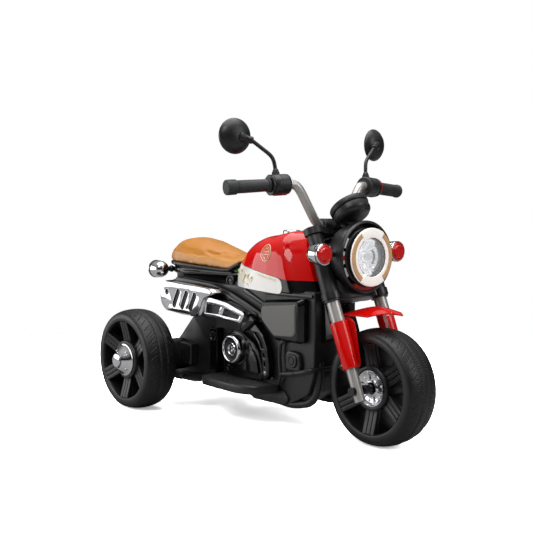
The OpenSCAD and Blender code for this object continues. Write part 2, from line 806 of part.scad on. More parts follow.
module headlight_shell() {
    outer = [for (a = [0:10:90]) [lamp_r * cos(a), -lamp_r * sin(a)]];
    inner_r = lamp_r - lamp_wall;
    inner = [for (a = [90:-10:0]) [inner_r * cos(a), -inner_r * sin(a)]];
    leg_x = front_x - (lamp_h) * tan(rake);
    color("#1c1c1e") difference() {
        union() {
            lamp_turn(concat([[lamp_r, 0]], outer, inner));
            // clamp rings and ears that hold the bucket between the fork covers
            both() {
                on_steering() translate([fork_offset, fork_half, lamp_clamp_s])
                    cylinder(h = 34, r = cover_r + 4);
                translate([leg_x + 4, lamp_r - 24, lamp_h - 14]) cube([32, 8, 28]);
                translate([signal_front_x - 12, 0, signal_h]) pin_y(lamp_r - 7, signal_y - signal_r + 1, 7);
            }
        }
        lamp_turn(concat([[inner_r, 0.5]], [for (a = [0:10:90]) [inner_r * cos(a), -inner_r * sin(a)]],
            [[0, 0.5]]));
        on_steering() both() translate([fork_offset, fork_half, 0]) cylinder(h = 600, r = cover_r);
        both() signal_room();
    }
}
lamp_clamp_s = 304;

module signal_room() {
    translate([signal_front_x, signal_y, signal_h]) rotate([0, -90, 0])
        translate([0, 0, -2]) cylinder(h = 60, r = signal_r);
}

module headlight_reflector() {
    // the flange clears the bucket's inner wall, which narrows behind the rim
    flange = lamp_r - lamp_wall - 0.8;
    color("#e8e8ea") lamp_turn([[0, -34], [40, -28], [56, -10], [56, -4], [flange, -4],
        [flange, -7], [59, -7], [59, -12], [42, -31], [0, -37]]);
}

module headlight_guide() {
    color("#e9d9bd") lamp_turn([[44, -4], [lens_r, -4], [lens_r, 10], [44, 10]]);
}

module headlight_lens() {
    color([0.9, 0.95, 1, 0.5]) lamp_turn([[0, 10], [lens_r - 1, 10], [lens_r - 6, 14], [0, 16]]);
}

// ---- Turn signals ------------------------------------------------------------------------

// A bullet housing: open end at x = 0, round end behind it
module signal_bullet() {
    r_in = signal_r - signal_wall;
    rotate([0, -90, 0]) rotate_extrude() polygon(concat(
        [[r_in, 0], [signal_r, 0], [signal_r, 18]],
        [for (a = [15:15:75]) [signal_r * cos(a), 18 + 26 * sin(a)]],
        [[0, 44], [0, 41]],
        [for (a = [75:-15:15]) [r_in * cos(a), 17 + 24 * sin(a)]], [[r_in, 17]]));
}
module signal_lens() {
    rotate([0, -90, 0]) rotate_extrude() polygon([[0, -6], [12, -5], [18, -3], [signal_r - signal_wall, 0],
        [signal_r - signal_wall, 8], [0, 8]]);
}
module front_signal_shells() {
    color("#dcdcde") both() translate([signal_front_x, signal_y, signal_h]) signal_bullet();
}
module front_signal_lenses() {
    color("#d01414") both() translate([signal_front_x, signal_y, signal_h]) signal_lens();
}
module rear_signal_shells() {
    color("#dcdcde") both() translate([rear_signal_x - 44, rear_signal_y, rear_signal_h])
        mirror([1, 0, 0]) signal_bullet();
}
module rear_signal_lenses() {
    color("#d01414") both() translate([rear_signal_x - 44, rear_signal_y, rear_signal_h])
        mirror([1, 0, 0]) signal_lens();
}

// ---- Handlebar ---------------------------------------------------------------------------

module handlebar() {
    color("#b4b6b8") both() {
        rod([bar_mid[0], -0.5, bar_mid[2]], bar_low, bar_r);
        rod(bar_low, bar_knee, bar_r);
        rod(bar_knee, bar_top, bar_r);
        rod(bar_top, bar_end, bar_r);
        for (p = [bar_low, bar_knee, bar_top]) translate(p) sphere(r = bar_r + bend_swell);
    }
}

module switch_housing(button_r) {
    difference() {
        union() {
            on_bar(switch_mid) translate([0, 0, -switch_len / 2]) cylinder(h = switch_len, r = switch_r);
            rod(stalk_foot - [0, 0, 12], stalk_foot + [-1.3, 0.9, 12], 8);
        }
        on_bar(switch_mid) translate([0, 0, -60]) cylinder(h = 120, r = bar_r);
        on_bar(switch_mid) rotate([-90, 0, 0]) translate([0, 0, switch_r - 10])
            cylinder(h = 20, r = button_r + free_gap);
        rod(stalk_foot, stalk_bend, stalk_r);
    }
}
button_r = 6;
module switch_housing_left() { color("#202022") switch_housing(button_r); }
module switch_housing_right() { color("#202022") mirror([0, 1, 0]) switch_housing(button_r); }

module push_button() {
    on_bar(switch_mid) rotate([-90, 0, 0]) translate([0, 0, switch_r - 10 + button_travel + 0.5])
        cylinder(h = 10 + 1, r = button_r);
}
module horn_button() { color("#c81a16") push_button(); }
module start_button() { color("#c9c9cb") mirror([0, 1, 0]) push_button(); }

ring_t = 4;
module grip_ring() {
    color("#c01a14") on_bar(grip_in) difference() {
        cylinder(h = ring_t, r = grip_r + 5);
        translate([0, 0, -1]) cylinder(h = ring_t + 2, r = bar_r);
    }
}

// A hand grip with a closed, wider end, from a distance along the bar
module grip(start, gap) {
    length = (bar_half - start) / bar_dir[1] - 2;
    on_bar(start) difference() {
        union() {
            cylinder(h = length, r = grip_r);
            translate([0, 0, length - 20]) cylinder(h = 20, r = grip_r + 3.5);
            cylinder(h = 5, r = grip_r + 2.5);
        }
        translate([0, 0, -1]) cylinder(h = norm(bar_end - bar_point(start)) + 1 + 0.4, r = bar_r + gap);
    }
}
module left_grip() { color("#1f1f21") grip(grip_in + ring_t, 0); }
module throttle_grip() { color("#1f1f21") mirror([0, 1, 0]) grip(grip_in, run_gap); }

// ---- Mirrors -----------------------------------------------------------------------------

module mirror_stalks() {
    color("#1c1c1e") both() {
        rod(stalk_foot, stalk_bend, stalk_r);
        translate(stalk_bend) sphere(r = stalk_r + bend_swell);
        rod(stalk_bend, ball_at, stalk_r);
        translate(ball_at) sphere(r = ball_r);
    }
}

// Stands a piece on the left mirror: z points forward, out of the shell's back
module on_mirror() { translate(mirror_at) rotate([0, 0, toe_in]) rotate([0, 90, 0]) children(); }

module mirror_shell() {
    to_stalk = stalk_bend - ball_at;
    reach = ball_at + to_stalk / norm(to_stalk) * (ball_r + socket_wall + 6);
    difference() {
        union() {
            on_mirror() rotate_extrude() polygon([[0, -1], [glass_r + 0.3, -1], [glass_r + 0.3, -5],
                [mirror_r, -5], [mirror_r, -1], [mirror_r - 3, 6], [mirror_r - 11, 13],
                [mirror_r - 23, 18], [0, 20]]);
            translate(ball_at) sphere(r = ball_r + socket_wall);
            intersection() {
                rod(mirror_at + [6, 0, 0], ball_at, 9);
                on_mirror() cylinder(h = 60, r = 60);
            }
        }
        translate(ball_at) sphere(r = ball_r + free_gap);
        // flared mouth that lets the stalk swing; its throat is narrower than the ball
        translate(reach) rotate([0, acos(-to_stalk[2] / norm(to_stalk)), atan2(-to_stalk[1], -to_stalk[0])])
            cylinder(h = 14.5, r1 = 12.5, r2 = stalk_r);
    }
}
module mirror_shell_left() { color("#1d1d1f") mirror_shell(); }
module mirror_shell_right() { color("#1d1d1f") mirror([0, 1, 0]) mirror_shell(); }
module mirror_glass() { on_mirror() translate([0, 0, -3.5]) cylinder(h = 2.5, r = glass_r); }
module mirror_glass_left() { color("#b9c4cc") mirror_glass(); }
module mirror_glass_right() { color("#b9c4cc") mirror([0, 1, 0]) mirror_glass(); }

// ---- Gauge -------------------------------------------------------------------------------

gauge_at = [258, 0, 400];
gauge_tilt = 38;
gauge_half = 19;
gauge_foot = [245, 0, 386];
module gauge_pod() {
    color("#202022") translate(gauge_at) rotate([0, -gauge_tilt, 0]) difference() {
        union() {
            translate([0, 0, -gauge_half]) cylinder(h = 10, r1 = gauge_r - 8, r2 = gauge_r);
            translate([0, 0, -gauge_half + 10]) cylinder(h = 2 * gauge_half - 10, r = gauge_r);
        }
        translate([0, 0, gauge_half - 4]) cylinder(h = 5, r = gauge_r - 5);
    }
}

// ---- Which node is drawn -----------------------------------------------------------------

on_axle() body_shell_right();
on_axle() body_shell_left();
on_axle() upper_cover();
on_axle() seat_pad();
on_axle() tank_cover();
on_axle() tank_strips();
on_axle() tank_cap();
on_axle() engine_covers();
on_axle() clutch_rings();
on_axle() side_panels();
on_axle() mufflers();
on_axle() heat_shields();
on_axle() footrests();
on_axle() rear_axle();
on_axle() rear_axle_nuts();
on_axle() gearbox_right();
on_axle() gearbox_left();
on_axle() battery();
on_axle() control_board();
on_axle() charge_socket();
on_axle() head_bushes();
on_axle() rear_signal_shells();
on_axle() rear_signal_lenses();
on_axle() shell_screws();
on_axle() fork_stem();
on_axle() upper_yoke();
on_axle() fork_covers();
on_axle() fork_tubes();
on_axle() front_mudguard();
on_axle() front_axle();
on_axle() headlight_shell();
on_axle() headlight_reflector();
on_axle() headlight_guide();
on_axle() headlight_lens();
on_axle() front_signal_shells();
on_axle() front_signal_lenses();
on_axle() handlebar();
on_axle() switch_housing_right();
on_axle() switch_housing_left();
on_axle() left_grip();
on_axle() grip_ring();
on_axle() mirror_stalks();
on_axle() gauge_pod();
on_axle() front_rim();
on_axle() front_tyre();
on_axle() front_hub_caps();
on_axle() rear_rim_right();
on_axle() rear_tyre_right();
on_axle() rear_hub_cap_right();
on_axle() rear_rim_left();
on_axle() rear_tyre_left();
on_axle() rear_hub_cap_left();
on_axle() throttle_grip();
on_axle() mirror_shell_right();
on_axle() mirror_glass_right();
on_axle() mirror_shell_left();
on_axle() mirror_glass_left();
on_axle() horn_button();
on_axle() start_button();
on_axle() power_rocker();
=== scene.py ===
"""Looks of a child's ride-on motorcycle with three wheels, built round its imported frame.

+X is the nose, +Y the rider's left and +Z up, with the ground at z = 0. Lengths are in metres,
and mm turns a length in millimetres into metres.
"""

import math

import bmesh
import bpy
import numpy as np
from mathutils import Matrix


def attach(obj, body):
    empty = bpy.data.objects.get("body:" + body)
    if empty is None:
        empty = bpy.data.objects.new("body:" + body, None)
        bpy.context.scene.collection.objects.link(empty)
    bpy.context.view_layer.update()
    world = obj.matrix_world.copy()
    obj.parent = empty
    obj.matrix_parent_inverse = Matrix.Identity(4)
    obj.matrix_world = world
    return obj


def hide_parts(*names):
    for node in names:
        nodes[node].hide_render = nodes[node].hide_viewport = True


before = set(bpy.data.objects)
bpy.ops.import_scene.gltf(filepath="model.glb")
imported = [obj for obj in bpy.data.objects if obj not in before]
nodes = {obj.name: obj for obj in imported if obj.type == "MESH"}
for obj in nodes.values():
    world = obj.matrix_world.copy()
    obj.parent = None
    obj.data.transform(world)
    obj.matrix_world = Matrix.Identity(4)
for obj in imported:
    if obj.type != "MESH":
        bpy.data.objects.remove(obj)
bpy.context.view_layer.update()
mm = 0.001

# --- Camera ---------------------------------------------------------------------------------
# A 62 mm lens at the height of the tank, off the rider's right of the nose.

eye = np.array([1.79287, -1.54668, 0.53336])
aim = np.array([-0.05188, 0.0, 0.39184])
sight = (aim - eye) / np.linalg.norm(aim - eye)
camera_data = bpy.data.cameras.new("camera")
camera_data.lens = 62.42
camera_data.sensor_width = 36
camera = bpy.data.objects.new("camera", camera_data)
camera.location = eye
heading = math.atan2(-sight[0], sight[1])
camera.rotation_euler = (math.pi / 2 + math.asin(sight[2]), 0, heading)
bpy.context.scene.collection.objects.link(camera)
bpy.context.scene.camera = camera
bpy.context.scene.view_settings.view_transform = "Standard"


# --- Studio ---------------------------------------------------------------------------------
# A white paper floor, lit past white so that only the wheels' own shadows show. It is plain
# white far out, and grey to everything but the camera. A wide lamp hangs overhead, a soft box
# stands low at the rear right and weaker ones ahead. The room is dark at the horizon, which keeps
# black plastic black and gives chrome an edge.


def add(tree, kind, **settings):
    """Adds one node. A keyword names an input, with _ for a space, or a property of the node;
    a keyword iN is input N. A socket given as the value is linked."""
    made = tree.nodes.new(kind)
    for key, value in settings.items():
        name = key.replace("_", " ")
        if key[0] == "i" and key[1:].isdigit():
            socket = made.inputs[int(key[1:])]
        elif name in made.inputs:
            socket = made.inputs[name]
        else:
            setattr(made, key, value)
            continue
        if isinstance(value, bpy.types.NodeSocket):
            tree.links.new(value, socket)
        else:
            socket.default_value = value
    return made


def hexed(code, alpha=1.0):
    """An sRGB hex colour as linear red, green, blue and alpha."""
    srgb = np.array([int(code[i:i + 2], 16) for i in (1, 3, 5)]) / 255
    linear = np.where(srgb <= 0.04045, srgb / 12.92, ((srgb + 0.055) / 1.055) ** 2.4)
    return (*linear.tolist(), alpha)


world = bpy.data.worlds.new("studio_room")
world.use_nodes = True
bpy.context.scene.world = world
room = world.node_tree
room.nodes.clear()
ray = add(room, "ShaderNodeTexCoord").outputs["Generated"]
height = add(room, "ShaderNodeSeparateXYZ", Vector=ray).outputs["Z"]
walls = add(room, "ShaderNodeValToRGB", Fac=add(room, "ShaderNodeMapRange", Value=height,
            From_Min=-1.0, From_Max=1.0).outputs["Result"])
bands = walls.color_ramp.elements
bands[0].position, bands[0].color = 0.30, hexed("#8a8a8a")
bands[1].position, bands[1].color = 0.90, hexed("#c4c4c4")
for place, shade in ((0.44, "#3a3a3c"), (0.50, "#1a1a1c"), (0.60, "#29292b"), (0.74, "#8f8f91")):
    band = bands.new(place)
    band.color = hexed(shade)
seen = add(room, "ShaderNodeMix", data_type="RGBA",
           i0=add(room, "ShaderNodeLightPath").outputs["Is Camera Ray"], i6=walls.outputs["Color"],
           i7=(1, 1, 1, 1))
glow = add(room, "ShaderNodeBackground", Color=seen.outputs[2], Strength=1.0)
add(room, "ShaderNodeOutputWorld", Surface=glow.outputs[0])

floor_mesh = bpy.data.meshes.new("floor")
floor_mesh.from_pydata([(-12, -12, 0), (12, -12, 0), (12, 12, 0), (-12, 12, 0)], [], [(0, 1, 2, 3)])
floor = bpy.data.objects.new("floor", floor_mesh)
bpy.context.scene.collection.objects.link(floor)
paper = bpy.data.materials.new("white_paper_floor")
paper.use_nodes = True
sheet = paper.node_tree
sheet.nodes.clear()
spot = add(sheet, "ShaderNodeTexCoord").outputs["Object"]
far = add(sheet, "ShaderNodeVectorMath", operation="LENGTH", i0=spot).outputs["Value"]
fade = add(sheet, "ShaderNodeMapRange", Value=far, From_Min=0.75, From_Max=1.9).outputs["Result"]
overexposed = add(sheet, "ShaderNodeBsdfDiffuse", Color=(5.8, 5.8, 5.8, 1))
lift = add(sheet, "ShaderNodeEmission", Color=(1, 1, 1, 1), Strength=0.3)
plain = add(sheet, "ShaderNodeEmission", Color=(1, 1, 1, 1), Strength=1.0)
lit = add(sheet, "ShaderNodeAddShader", i0=overexposed.outputs[0], i1=lift.outputs[0])
open_sheet = add(sheet, "ShaderNodeMixShader", Fac=fade, i1=lit.outputs[0], i2=plain.outputs[0])
grey_sheet = add(sheet, "ShaderNodeBsdfDiffuse", Color=hexed("#a4a4a4"))
paper_skin = add(sheet, "ShaderNodeMixShader",
                 Fac=add(sheet, "ShaderNodeLightPath").outputs["Is Camera Ray"], i1=grey_sheet.outputs[0],
                 i2=open_sheet.outputs[0])
add(sheet, "ShaderNodeOutputMaterial", Surface=paper_skin.outputs[0])
floor_mesh.materials.append(paper)


def soft_box(name, place, look, width, depth, power):
    """An area lamp at place that faces look, width by depth metres."""
    lamp = bpy.data.lights.new(name, "AREA")
    lamp.shape, lamp.size, lamp.size_y, lamp.energy = "RECTANGLE", width, depth, power
    holder = bpy.data.objects.new(name, lamp)
    holder.location = place
    along = np.array(look, float) - np.array(place, float)
    holder.rotation_euler = (math.atan2(math.hypot(along[0], along[1]), -along[2]), 0,
                             math.atan2(along[1], along[0]) - math.pi / 2)
    bpy.context.scene.collection.objects.link(holder)


soft_box("overhead", (0.0, -0.1, 2.3), (0, 0, 0), 2.4, 2.0, 52)
soft_box("side_box", (-1.75, -1.95, 0.66), (0.05, -0.1, 0.45), 2.9, 1.25, 27)
soft_box("front_box", (2.4, 0.9, 1.4), (0.2, 0, 0.4), 1.0, 1.6, 16)
soft_box("high_right_box", (1.0, -1.9, 2.3), (0, 0, 0.35), 1.2, 0.8, 16)


# --- Wheels: tyres --------------------------------------------------------------------------
# Three alike: a blown soft-plastic tyre with fine road tread, pressed on a moulded rim. The
# crown has two bands of short notches, and curved cuts and dimples run over the shoulders.

wheel_r = 135 * mm
wheel_half = 45 * mm
bead_r = 112 * mm
side_r = 121 * mm
axle_z = wheel_r
front_x = 357 * mm
rear_x = -357 * mm
rear_y = 206 * mm
wheels = {"front_wheel": (front_x, 0.0), "rear_wheel_right": (rear_x, -rear_y),
          "rear_wheel_left": (rear_x, rear_y)}


def grid(points, wrap_u=False, wrap_v=False):
    """Quads over a grid of points, rows u and columns v, joined end to end where wrapped."""
    n, m = points.shape[:2]
    index = np.arange(n * m).reshape(n, m)
    if wrap_u:
        index = np.vstack([index, index[:1]])
    if wrap_v:
        index = np.hstack([index, index[:, :1]])
    quads = np.stack([index[:-1, :-1], index[1:, :-1], index[1:, 1:], index[:-1, 1:]], -1)
    return points.reshape(-1, 3), quads.reshape(-1, 4)


def turned(profile, closed=False, count=96, wobble=None):
    """A profile of (radius, height) in mm turned round +Z: x = r cos a, y = r sin a, z = height.
    Wobble is added to the radius, in metres."""
    profile = np.asarray(profile, float) * mm
    angle = np.arange(count) * 2 * math.pi / count
    radius, rise = profile[:, :1], profile[:, 1:]
    if wobble is not None:
        radius = radius + wobble(angle[None, :], rise)
    points = np.stack([radius * np.cos(angle), radius * np.sin(angle),
                       np.broadcast_to(rise, (len(profile), count))], -1)
    return grid(points, wrap_u=closed, wrap_v=True)


def placed(part, origin=(0, 0, 0), axis=(0, 0, 1), up=(0, 0, 1)):
    """Stands a part made along +Z on a line: its z goes along axis, its x as near up as it can."""
    z = np.array(axis, float) / np.linalg.norm(axis)
    x = np.array(up, float) - z * np.dot(up, z)
    if np.linalg.norm(x) < 1e-6:
        x = np.cross(z, (0, 1, 0))
    x = x / np.linalg.norm(x)
    turn = np.stack([x, np.cross(z, x), z])
    return np.asarray(part[0]) @ turn + np.array(origin), part[1]


def moved(part, x, y, z):
    """The part shifted by x, y and z in mm."""
    return part[0] + np.array([x, y, z]) * mm, part[1]


def spun(part, angle):
    """The part turned about +Z."""
    turn = np.array([[math.cos(angle), math.sin(angle), 0], [-math.sin(angle), math.cos(angle), 0],
                     [0, 0, 1]])
    return part[0] @ turn, part[1]


def flipped(part):
    """The part's mirror image across the middle plane."""
    return part[0] * (1, -1, 1), part[1]


def sided(parts, side):
    """Parts made for the right side, or their mirror images for the left."""
    return parts if side == "right" else [flipped(part) for part in parts]


def finished(material, *names):
    """Gives CAD nodes a material."""
    for name in names:
        nodes[name].data.materials.clear()
        nodes[name].data.materials.append(material)


def piece(name, body, groups, materials, stands_for=(), sharp=38, merge=1e-5):
    """One object from groups of parts, a group to each material. Points closer than merge are
    joined, the faces are turned outwards, and edges sharper than the angle stay crisp. The CAD
    nodes it stands for are hidden, and take its first material."""
    points, faces, shades, start = [], [], [], 0
    for shade, group in enumerate(groups):
        for part_points, part_faces in group:
            points.append(np.asarray(part_points, float))
            faces += [[i + start for i in face] for face in np.asarray(part_faces, dtype=object).tolist()]
            shades += [shade] * len(part_faces)
            start += len(part_points)
    mesh = bpy.data.meshes.new(name)
    mesh.from_pydata(np.vstack(points).tolist(), [], faces)
    mesh.polygons.foreach_set("material_index", shades)
    shape = bmesh.new()
    shape.from_mesh(mesh)
    bmesh.ops.remove_doubles(shape, verts=shape.verts, dist=merge)
    bmesh.ops.dissolve_degenerate(shape, edges=shape.edges, dist=1e-7)
    bmesh.ops.recalc_face_normals(shape, faces=shape.faces)
    shape.to_mesh(mesh)
    shape.free()
    mesh.polygons.foreach_set("use_smooth", [True] * len(mesh.polygons))
    mesh.set_sharp_from_angle(angle=math.radians(sharp))
    for material in materials:
        mesh.materials.append(material)
    made = bpy.data.objects.new(name, mesh)
    bpy.context.scene.collection.objects.link(made)
    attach(made, body)
    if stands_for:
        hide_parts(*stands_for)
        finished(materials[0], *stands_for)
    return made


def moulded(name, colour, rough, grain, depth, second=None, patch=40 * mm, spread=0.08, band=None,
            **shader):
    """A plastic, rubber or plated skin. Its colour drifts towards a second one in patches, its
    roughness by spread, and its surface has grain of that size and depth, both in metres. Where
    the mesh attribute "band" is 1, the colour is band's."""
    material = bpy.data.materials.new(name)
    material.use_nodes = True
    tree = material.node_tree
    skin = tree.nodes["Principled BSDF"]
    where = add(tree, "ShaderNodeTexCoord").outputs["Object"]
    drift = add(tree, "ShaderNodeTexNoise", Vector=where, Scale=1 / patch, Detail=3.0).outputs["Fac"]
    tint = add(tree, "ShaderNodeMix", data_type="RGBA", i0=drift, i6=hexed(colour),
               i7=hexed(second or colour))
    # band colours the mesh where its attribute is set; the saddle uses it for a painted highlight
    if band:
        share = add(tree, "ShaderNodeAttribute", attribute_name="band").outputs["Fac"]
        tint = add(tree, "ShaderNodeMix", data_type="RGBA", i0=share, i6=tint.outputs[2], i7=hexed(band))
    tree.links.new(tint.outputs[2], skin.inputs["Base Color"])
    gloss = add(tree, "ShaderNodeMapRange", Value=drift, From_Min=0.3, From_Max=0.7,
                To_Min=max(rough - spread, 0.02), To_Max=min(rough + spread, 1.0))
    tree.links.new(gloss.outputs["Result"], skin.inputs["Roughness"])
    bumps = add(tree, "ShaderNodeTexNoise", Vector=where, Scale=1 / grain, Detail=2.0).outputs["Fac"]
    bump = add(tree, "ShaderNodeBump", Height=bumps, Distance=depth, Strength=1.0)
    tree.links.new(bump.outputs["Normal"], skin.inputs["Normal"])
    for key, value in shader.items():
        skin.inputs[key.replace("_", " ")].default_value = value
    return material


# soft PVC: grey-black, dull, with a fine moulded grain that the light catches on the shoulders
tyre_plastic = moulded("moulded_pvc_tyre", "#0f0f10", 0.42, 1.6 * mm, 0.12 * mm, "#161617",
                       Specular_IOR_Level=0.36)


def tread(angle, across):
    """How far the tyre's skin sinks, from the angle round it and the distance across it."""
    side = np.abs(across)
    repeats = 40

    def cuts(count, lean, width, low, high):
        """Cuts spaced evenly round the tyre, leaning with the distance across."""
        turn = angle * count / (2 * math.pi) + lean * (side / wheel_half)
        off = np.abs(turn - np.round(turn)) * 2 * math.pi * wheel_r / count
        inside = np.clip((side - low) / (1.5 * mm), 0, 1) * np.clip((high - side) / (1.5 * mm), 0, 1)
        return np.exp(-(off / width) ** 4) * inside

    notches = cuts(150, 0.0, 1.7 * mm, 7.5 * mm, 13.5 * mm)
    long_cuts = cuts(repeats, 1.6, 0.8 * mm, 18 * mm, 38 * mm)
    ring = np.exp(-((side - 15.5 * mm) / (0.8 * mm)) ** 2)
    turn = angle * repeats / (2 * math.pi) + 0.3
    gap = np.hypot((turn - np.round(turn)) * 2 * math.pi * wheel_r / repeats, side - 24 * mm)
    dimples = np.exp(-(gap / (1.8 * mm)) ** 4)
    return mm * (1.9 * notches + 1.3 * long_cuts + 1.0 * ring + 0.9 * dimples)


def tyre_part():
    """The tyre's skin: a superellipse across, half width by the height above the flange, closed
    under the crown by the bead seat, with the tread sunk into it."""
    bulge = wheel_r - side_r
    power = 1.95
    t = np.linspace(0.0, math.pi, 75)
    around = (np.abs(np.cos(t)) ** power + np.abs(np.sin(t)) ** power) ** (-1 / power)
    across = wheel_half * np.cos(t) * around
    radius = side_r + bulge * np.sin(t) * around
    around_count = 960
    angle = np.arange(around_count) * 2 * math.pi / around_count
    deep = radius[:, None] - tread(angle[None, :], across[:, None])
    crown = np.stack([deep * np.cos(angle), deep * np.sin(angle),
                      np.broadcast_to(across[:, None], deep.shape)], -1)
    seat = np.array([(side_r, -40 * mm), (bead_r, -39 * mm), (bead_r, 39 * mm), (side_r, 40 * mm)])
    under = np.stack([seat[:, :1] * np.cos(angle), seat[:, :1] * np.sin(angle),
                      np.broadcast_to(seat[:, 1:], (4, around_count))], -1)
    return grid(np.concatenate([crown, under]), wrap_u=True, wrap_v=True)


def on_wheels(kind, ending, parts, material):
    """A piece on each wheel that stands for its node of that kind, from parts along its axle."""
    for body, (x, y) in wheels.items():
        outward = (0, -1, 0) if y <= 0 else (0, 1, 0)
        node_name = body.replace("wheel", kind)
        piece(node_name + ending, body, [[placed(part, (x, y, axle_z), outward) for part in parts]],
              [material], [node_name])


on_wheels("tyre", "_skin", [tyre_part()], tyre_plastic)

# --- Wheels: rims ---------------------------------------------------------------------------
# One black moulding each: a barrel with a flat flange, a hub and six spokes. Each spoke is
# three ribs side by side on a web, and leans inwards from the flange to the hub.

rim_plastic = moulded("moulded_pp_rim", "#131314", 0.36, 0.5 * mm, 0.02 * mm, "#19191a",
                      Specular_IOR_Level=0.42)
dish_r = 41.5
spokes = 6
rib_pitch = 12
rib_half = 5


def carried(section, line, widths=None):
    """A closed section of (side, up) pairs carried along a line in the xz plane, as a bar: the
    section's side is y, and its up is square to the line. Both ends are closed."""
    line = np.asarray(line, float)
    step = np.gradient(line, axis=0)
    step /= np.linalg.norm(step, axis=1)[:, None]
    up = np.stack([-step[:, 2], np.zeros(len(line)), step[:, 0]], -1)
    scale = np.ones(len(line)) if widths is None else np.asarray(widths)
    points = (line[:, None] + np.array([0, 1, 0]) * section[None, :, :1] * scale[:, None, None]
              + up[:, None] * section[None, :, 1:] * scale[:, None, None])
    return grid(shut(points), wrap_v=True)


def shut(points):
    """Adds a row at each end with all its points at the middle, so that the ends are closed."""
    first = np.broadcast_to(points[:1].mean(1, keepdims=True), points[:1].shape)
    last = np.broadcast_to(points[-1:].mean(1, keepdims=True), points[-1:].shape)
    return np.concatenate([first, points, last])


def oblong(half_w, half_h, r, steps=4):
    """A rectangle with round corners, as points round it."""
    t = np.linspace(0, math.pi / 2, steps)
    corners = [(half_w - r, half_h - r, 0), (r - half_w, half_h - r, 1),
               (r - half_w, r - half_h, 2), (half_w - r, r - half_h, 3)]
    return np.concatenate([np.stack([cx + r * np.cos(t + q * math.pi / 2),
                                     cy + r * np.sin(t + q * math.pi / 2)], -1)
                           for cx, cy, q in corners])


def bar(half_w, half_h, r, line):
    """A bar of oblong section along a line of points, all in mm."""
    return carried(oblong(half_w * mm, half_h * mm, r * mm), np.array(line, float) * mm)


def rim_parts():
    """The rim, with its axle along +Z: turned barrel and hub, and bars for the ribs."""
    barrel = turned([(103, -36), (104, -42), (105.5, -44.6), (107, -45.2), (118.4, -45.2), (120.6, -44.2),
                     (121, -42.5), (120, -39.5), (112, -39.5), (112, 39.5), (120, 39.5), (121, 42.5),
                     (120.6, 44.2), (118.4, 45.2), (107, 45.2), (105.5, 44.6), (104, 42), (103, 36),
                     (101.5, 0)], closed=True, count=144)
    hub = turned([(12, -30), (dish_r, -30), (42, -37), (43.5, -38), (49, -38), (51, -36.5),
                           (52, -33), (52, 33), (51, 36.5), (49, 38), (43.5, 38), (42, 37),
                           (dish_r, 30), (12, 30)], closed=True)
    parts = [barrel, hub]
    reach = np.linspace(47, 104, 10)
    for spoke in range(spokes):
        angle = 2 * math.pi * spoke / spokes
        for side in (-1, 1):
            top = (31 + 13 * np.clip((reach - 52) / 50, 0, 1) ** 1.2) * side
            rib = bar(5.3, rib_half, 0.8, np.stack([reach, reach * 0, top - side * rib_half], -1))
            parts += [spun(moved(rib, 0, shift * rib_pitch, 0), angle) for shift in (-1, 0, 1)]
        parts.append(spun(bar(16.6, 27.5, 2, np.stack([reach, reach * 0, reach * 0], -1)), angle))
    return parts


on_wheels("rim", "_moulding", rim_parts(), rim_plastic)

# --- Wheels: hub caps and axle nuts ---------------------------------------------------------
# Plated plastic. In front, a dish with a bolt circle sits in the hub on both sides; behind, a
# dome with four bolts covers the hub, and a round cap over the axle nut stands in its middle.

plated = moulded("chrome_plated_abs", "#dedee0", 0.06, 18 * mm, 0.05 * mm, "#c9c9cc", spread=0.03,
                 Metallic=1.0)
zinc = moulded("zinc_plated_steel", "#8f9194", 0.34, 0.6 * mm, 0.01 * mm, "#7c7e81", Metallic=1.0)


def dome(r, rise, count=24):
    """A round head in mm: a quarter ellipse turned round +Z."""
    t = np.linspace(0, math.pi / 2, 7)
    return turned(np.stack([r * np.cos(t), rise * np.sin(t)], -1), count=count)


def ringed(part, count, radius, first=0.0, lift=0.0):
    """The part repeated on a circle round +Z, its radius and lift in mm."""
    angles = first + np.arange(count) * 2 * math.pi / count
    return [moved(part, radius * math.cos(a), radius * math.sin(a), lift) for a in angles]


front_dish = turned([(13.5, 30.2), (13.5, 34), (15, 35), (18, 34), (20, 31.5), (30, 31.5), (37, 35.5),
                              (39, 37.5), (41, 37.6), (41.3, 36), (41.3, 30.2)], closed=True)
fin = bar(1.6, 1.6, 0.8, [(18, 0, 32.5), (27, 0, 33.2), (37, 0, 36)])
fins = [spun(fin, angle) for angle in np.radians(np.arange(6) * 60 + 15)]
bolts = ringed(dome(3.2, 2.4), 6, 29, math.radians(45), 31.6)
dish_parts = [front_dish] + fins + bolts
piece("front_hub_dishes", "front_wheel",
      [[placed(part, (front_x, 0, axle_z), way) for part in dish_parts for way in ((0, -1, 0), (0, 1, 0))]],
      [plated], ["front_hub_caps"])

rear_dome = turned([(19.5, 30.2), (19.5, 60), (20.6, 61.6), (22.4, 60.6), (27, 55.4), (33, 48.6),
                    (38, 43), (40.6, 41.4), (42.6, 40.6), (42.8, 39.4), (42.8, 38.3), (41.3, 38),
                    (41.3, 30.2)], closed=True)
dome_bolts = ringed(dome(4.2, 5), 4, 31, math.radians(45), 47.6)
nut_cap = turned([(0, 33), (18.3, 33), (18.5, 65), (17.6, 67.2), (15.5, 68.4), (0, 68.8)])
cap_dimples = ringed(dome(1.5, 0.8, 12), 3, 6, 0.3, 68.6)
for side, way in (("right", -1), ("left", 1)):
    hub = (rear_x, way * rear_y, axle_z)
    piece("rear_hub_dome_" + side, "rear_wheel_" + side,
          [[placed(part, hub, (0, way, 0)) for part in [rear_dome] + dome_bolts]], [plated],
          ["rear_hub_cap_" + side])
nuts = [placed(part, (rear_x, way * rear_y, axle_z), (0, way, 0)) for part in [nut_cap] + cap_dimples
        for way in (-1, 1)]
piece("rear_nut_caps", "chassis", [nuts], [plated], ["rear_axle_nuts"])
finished(zinc, "rear_axle")

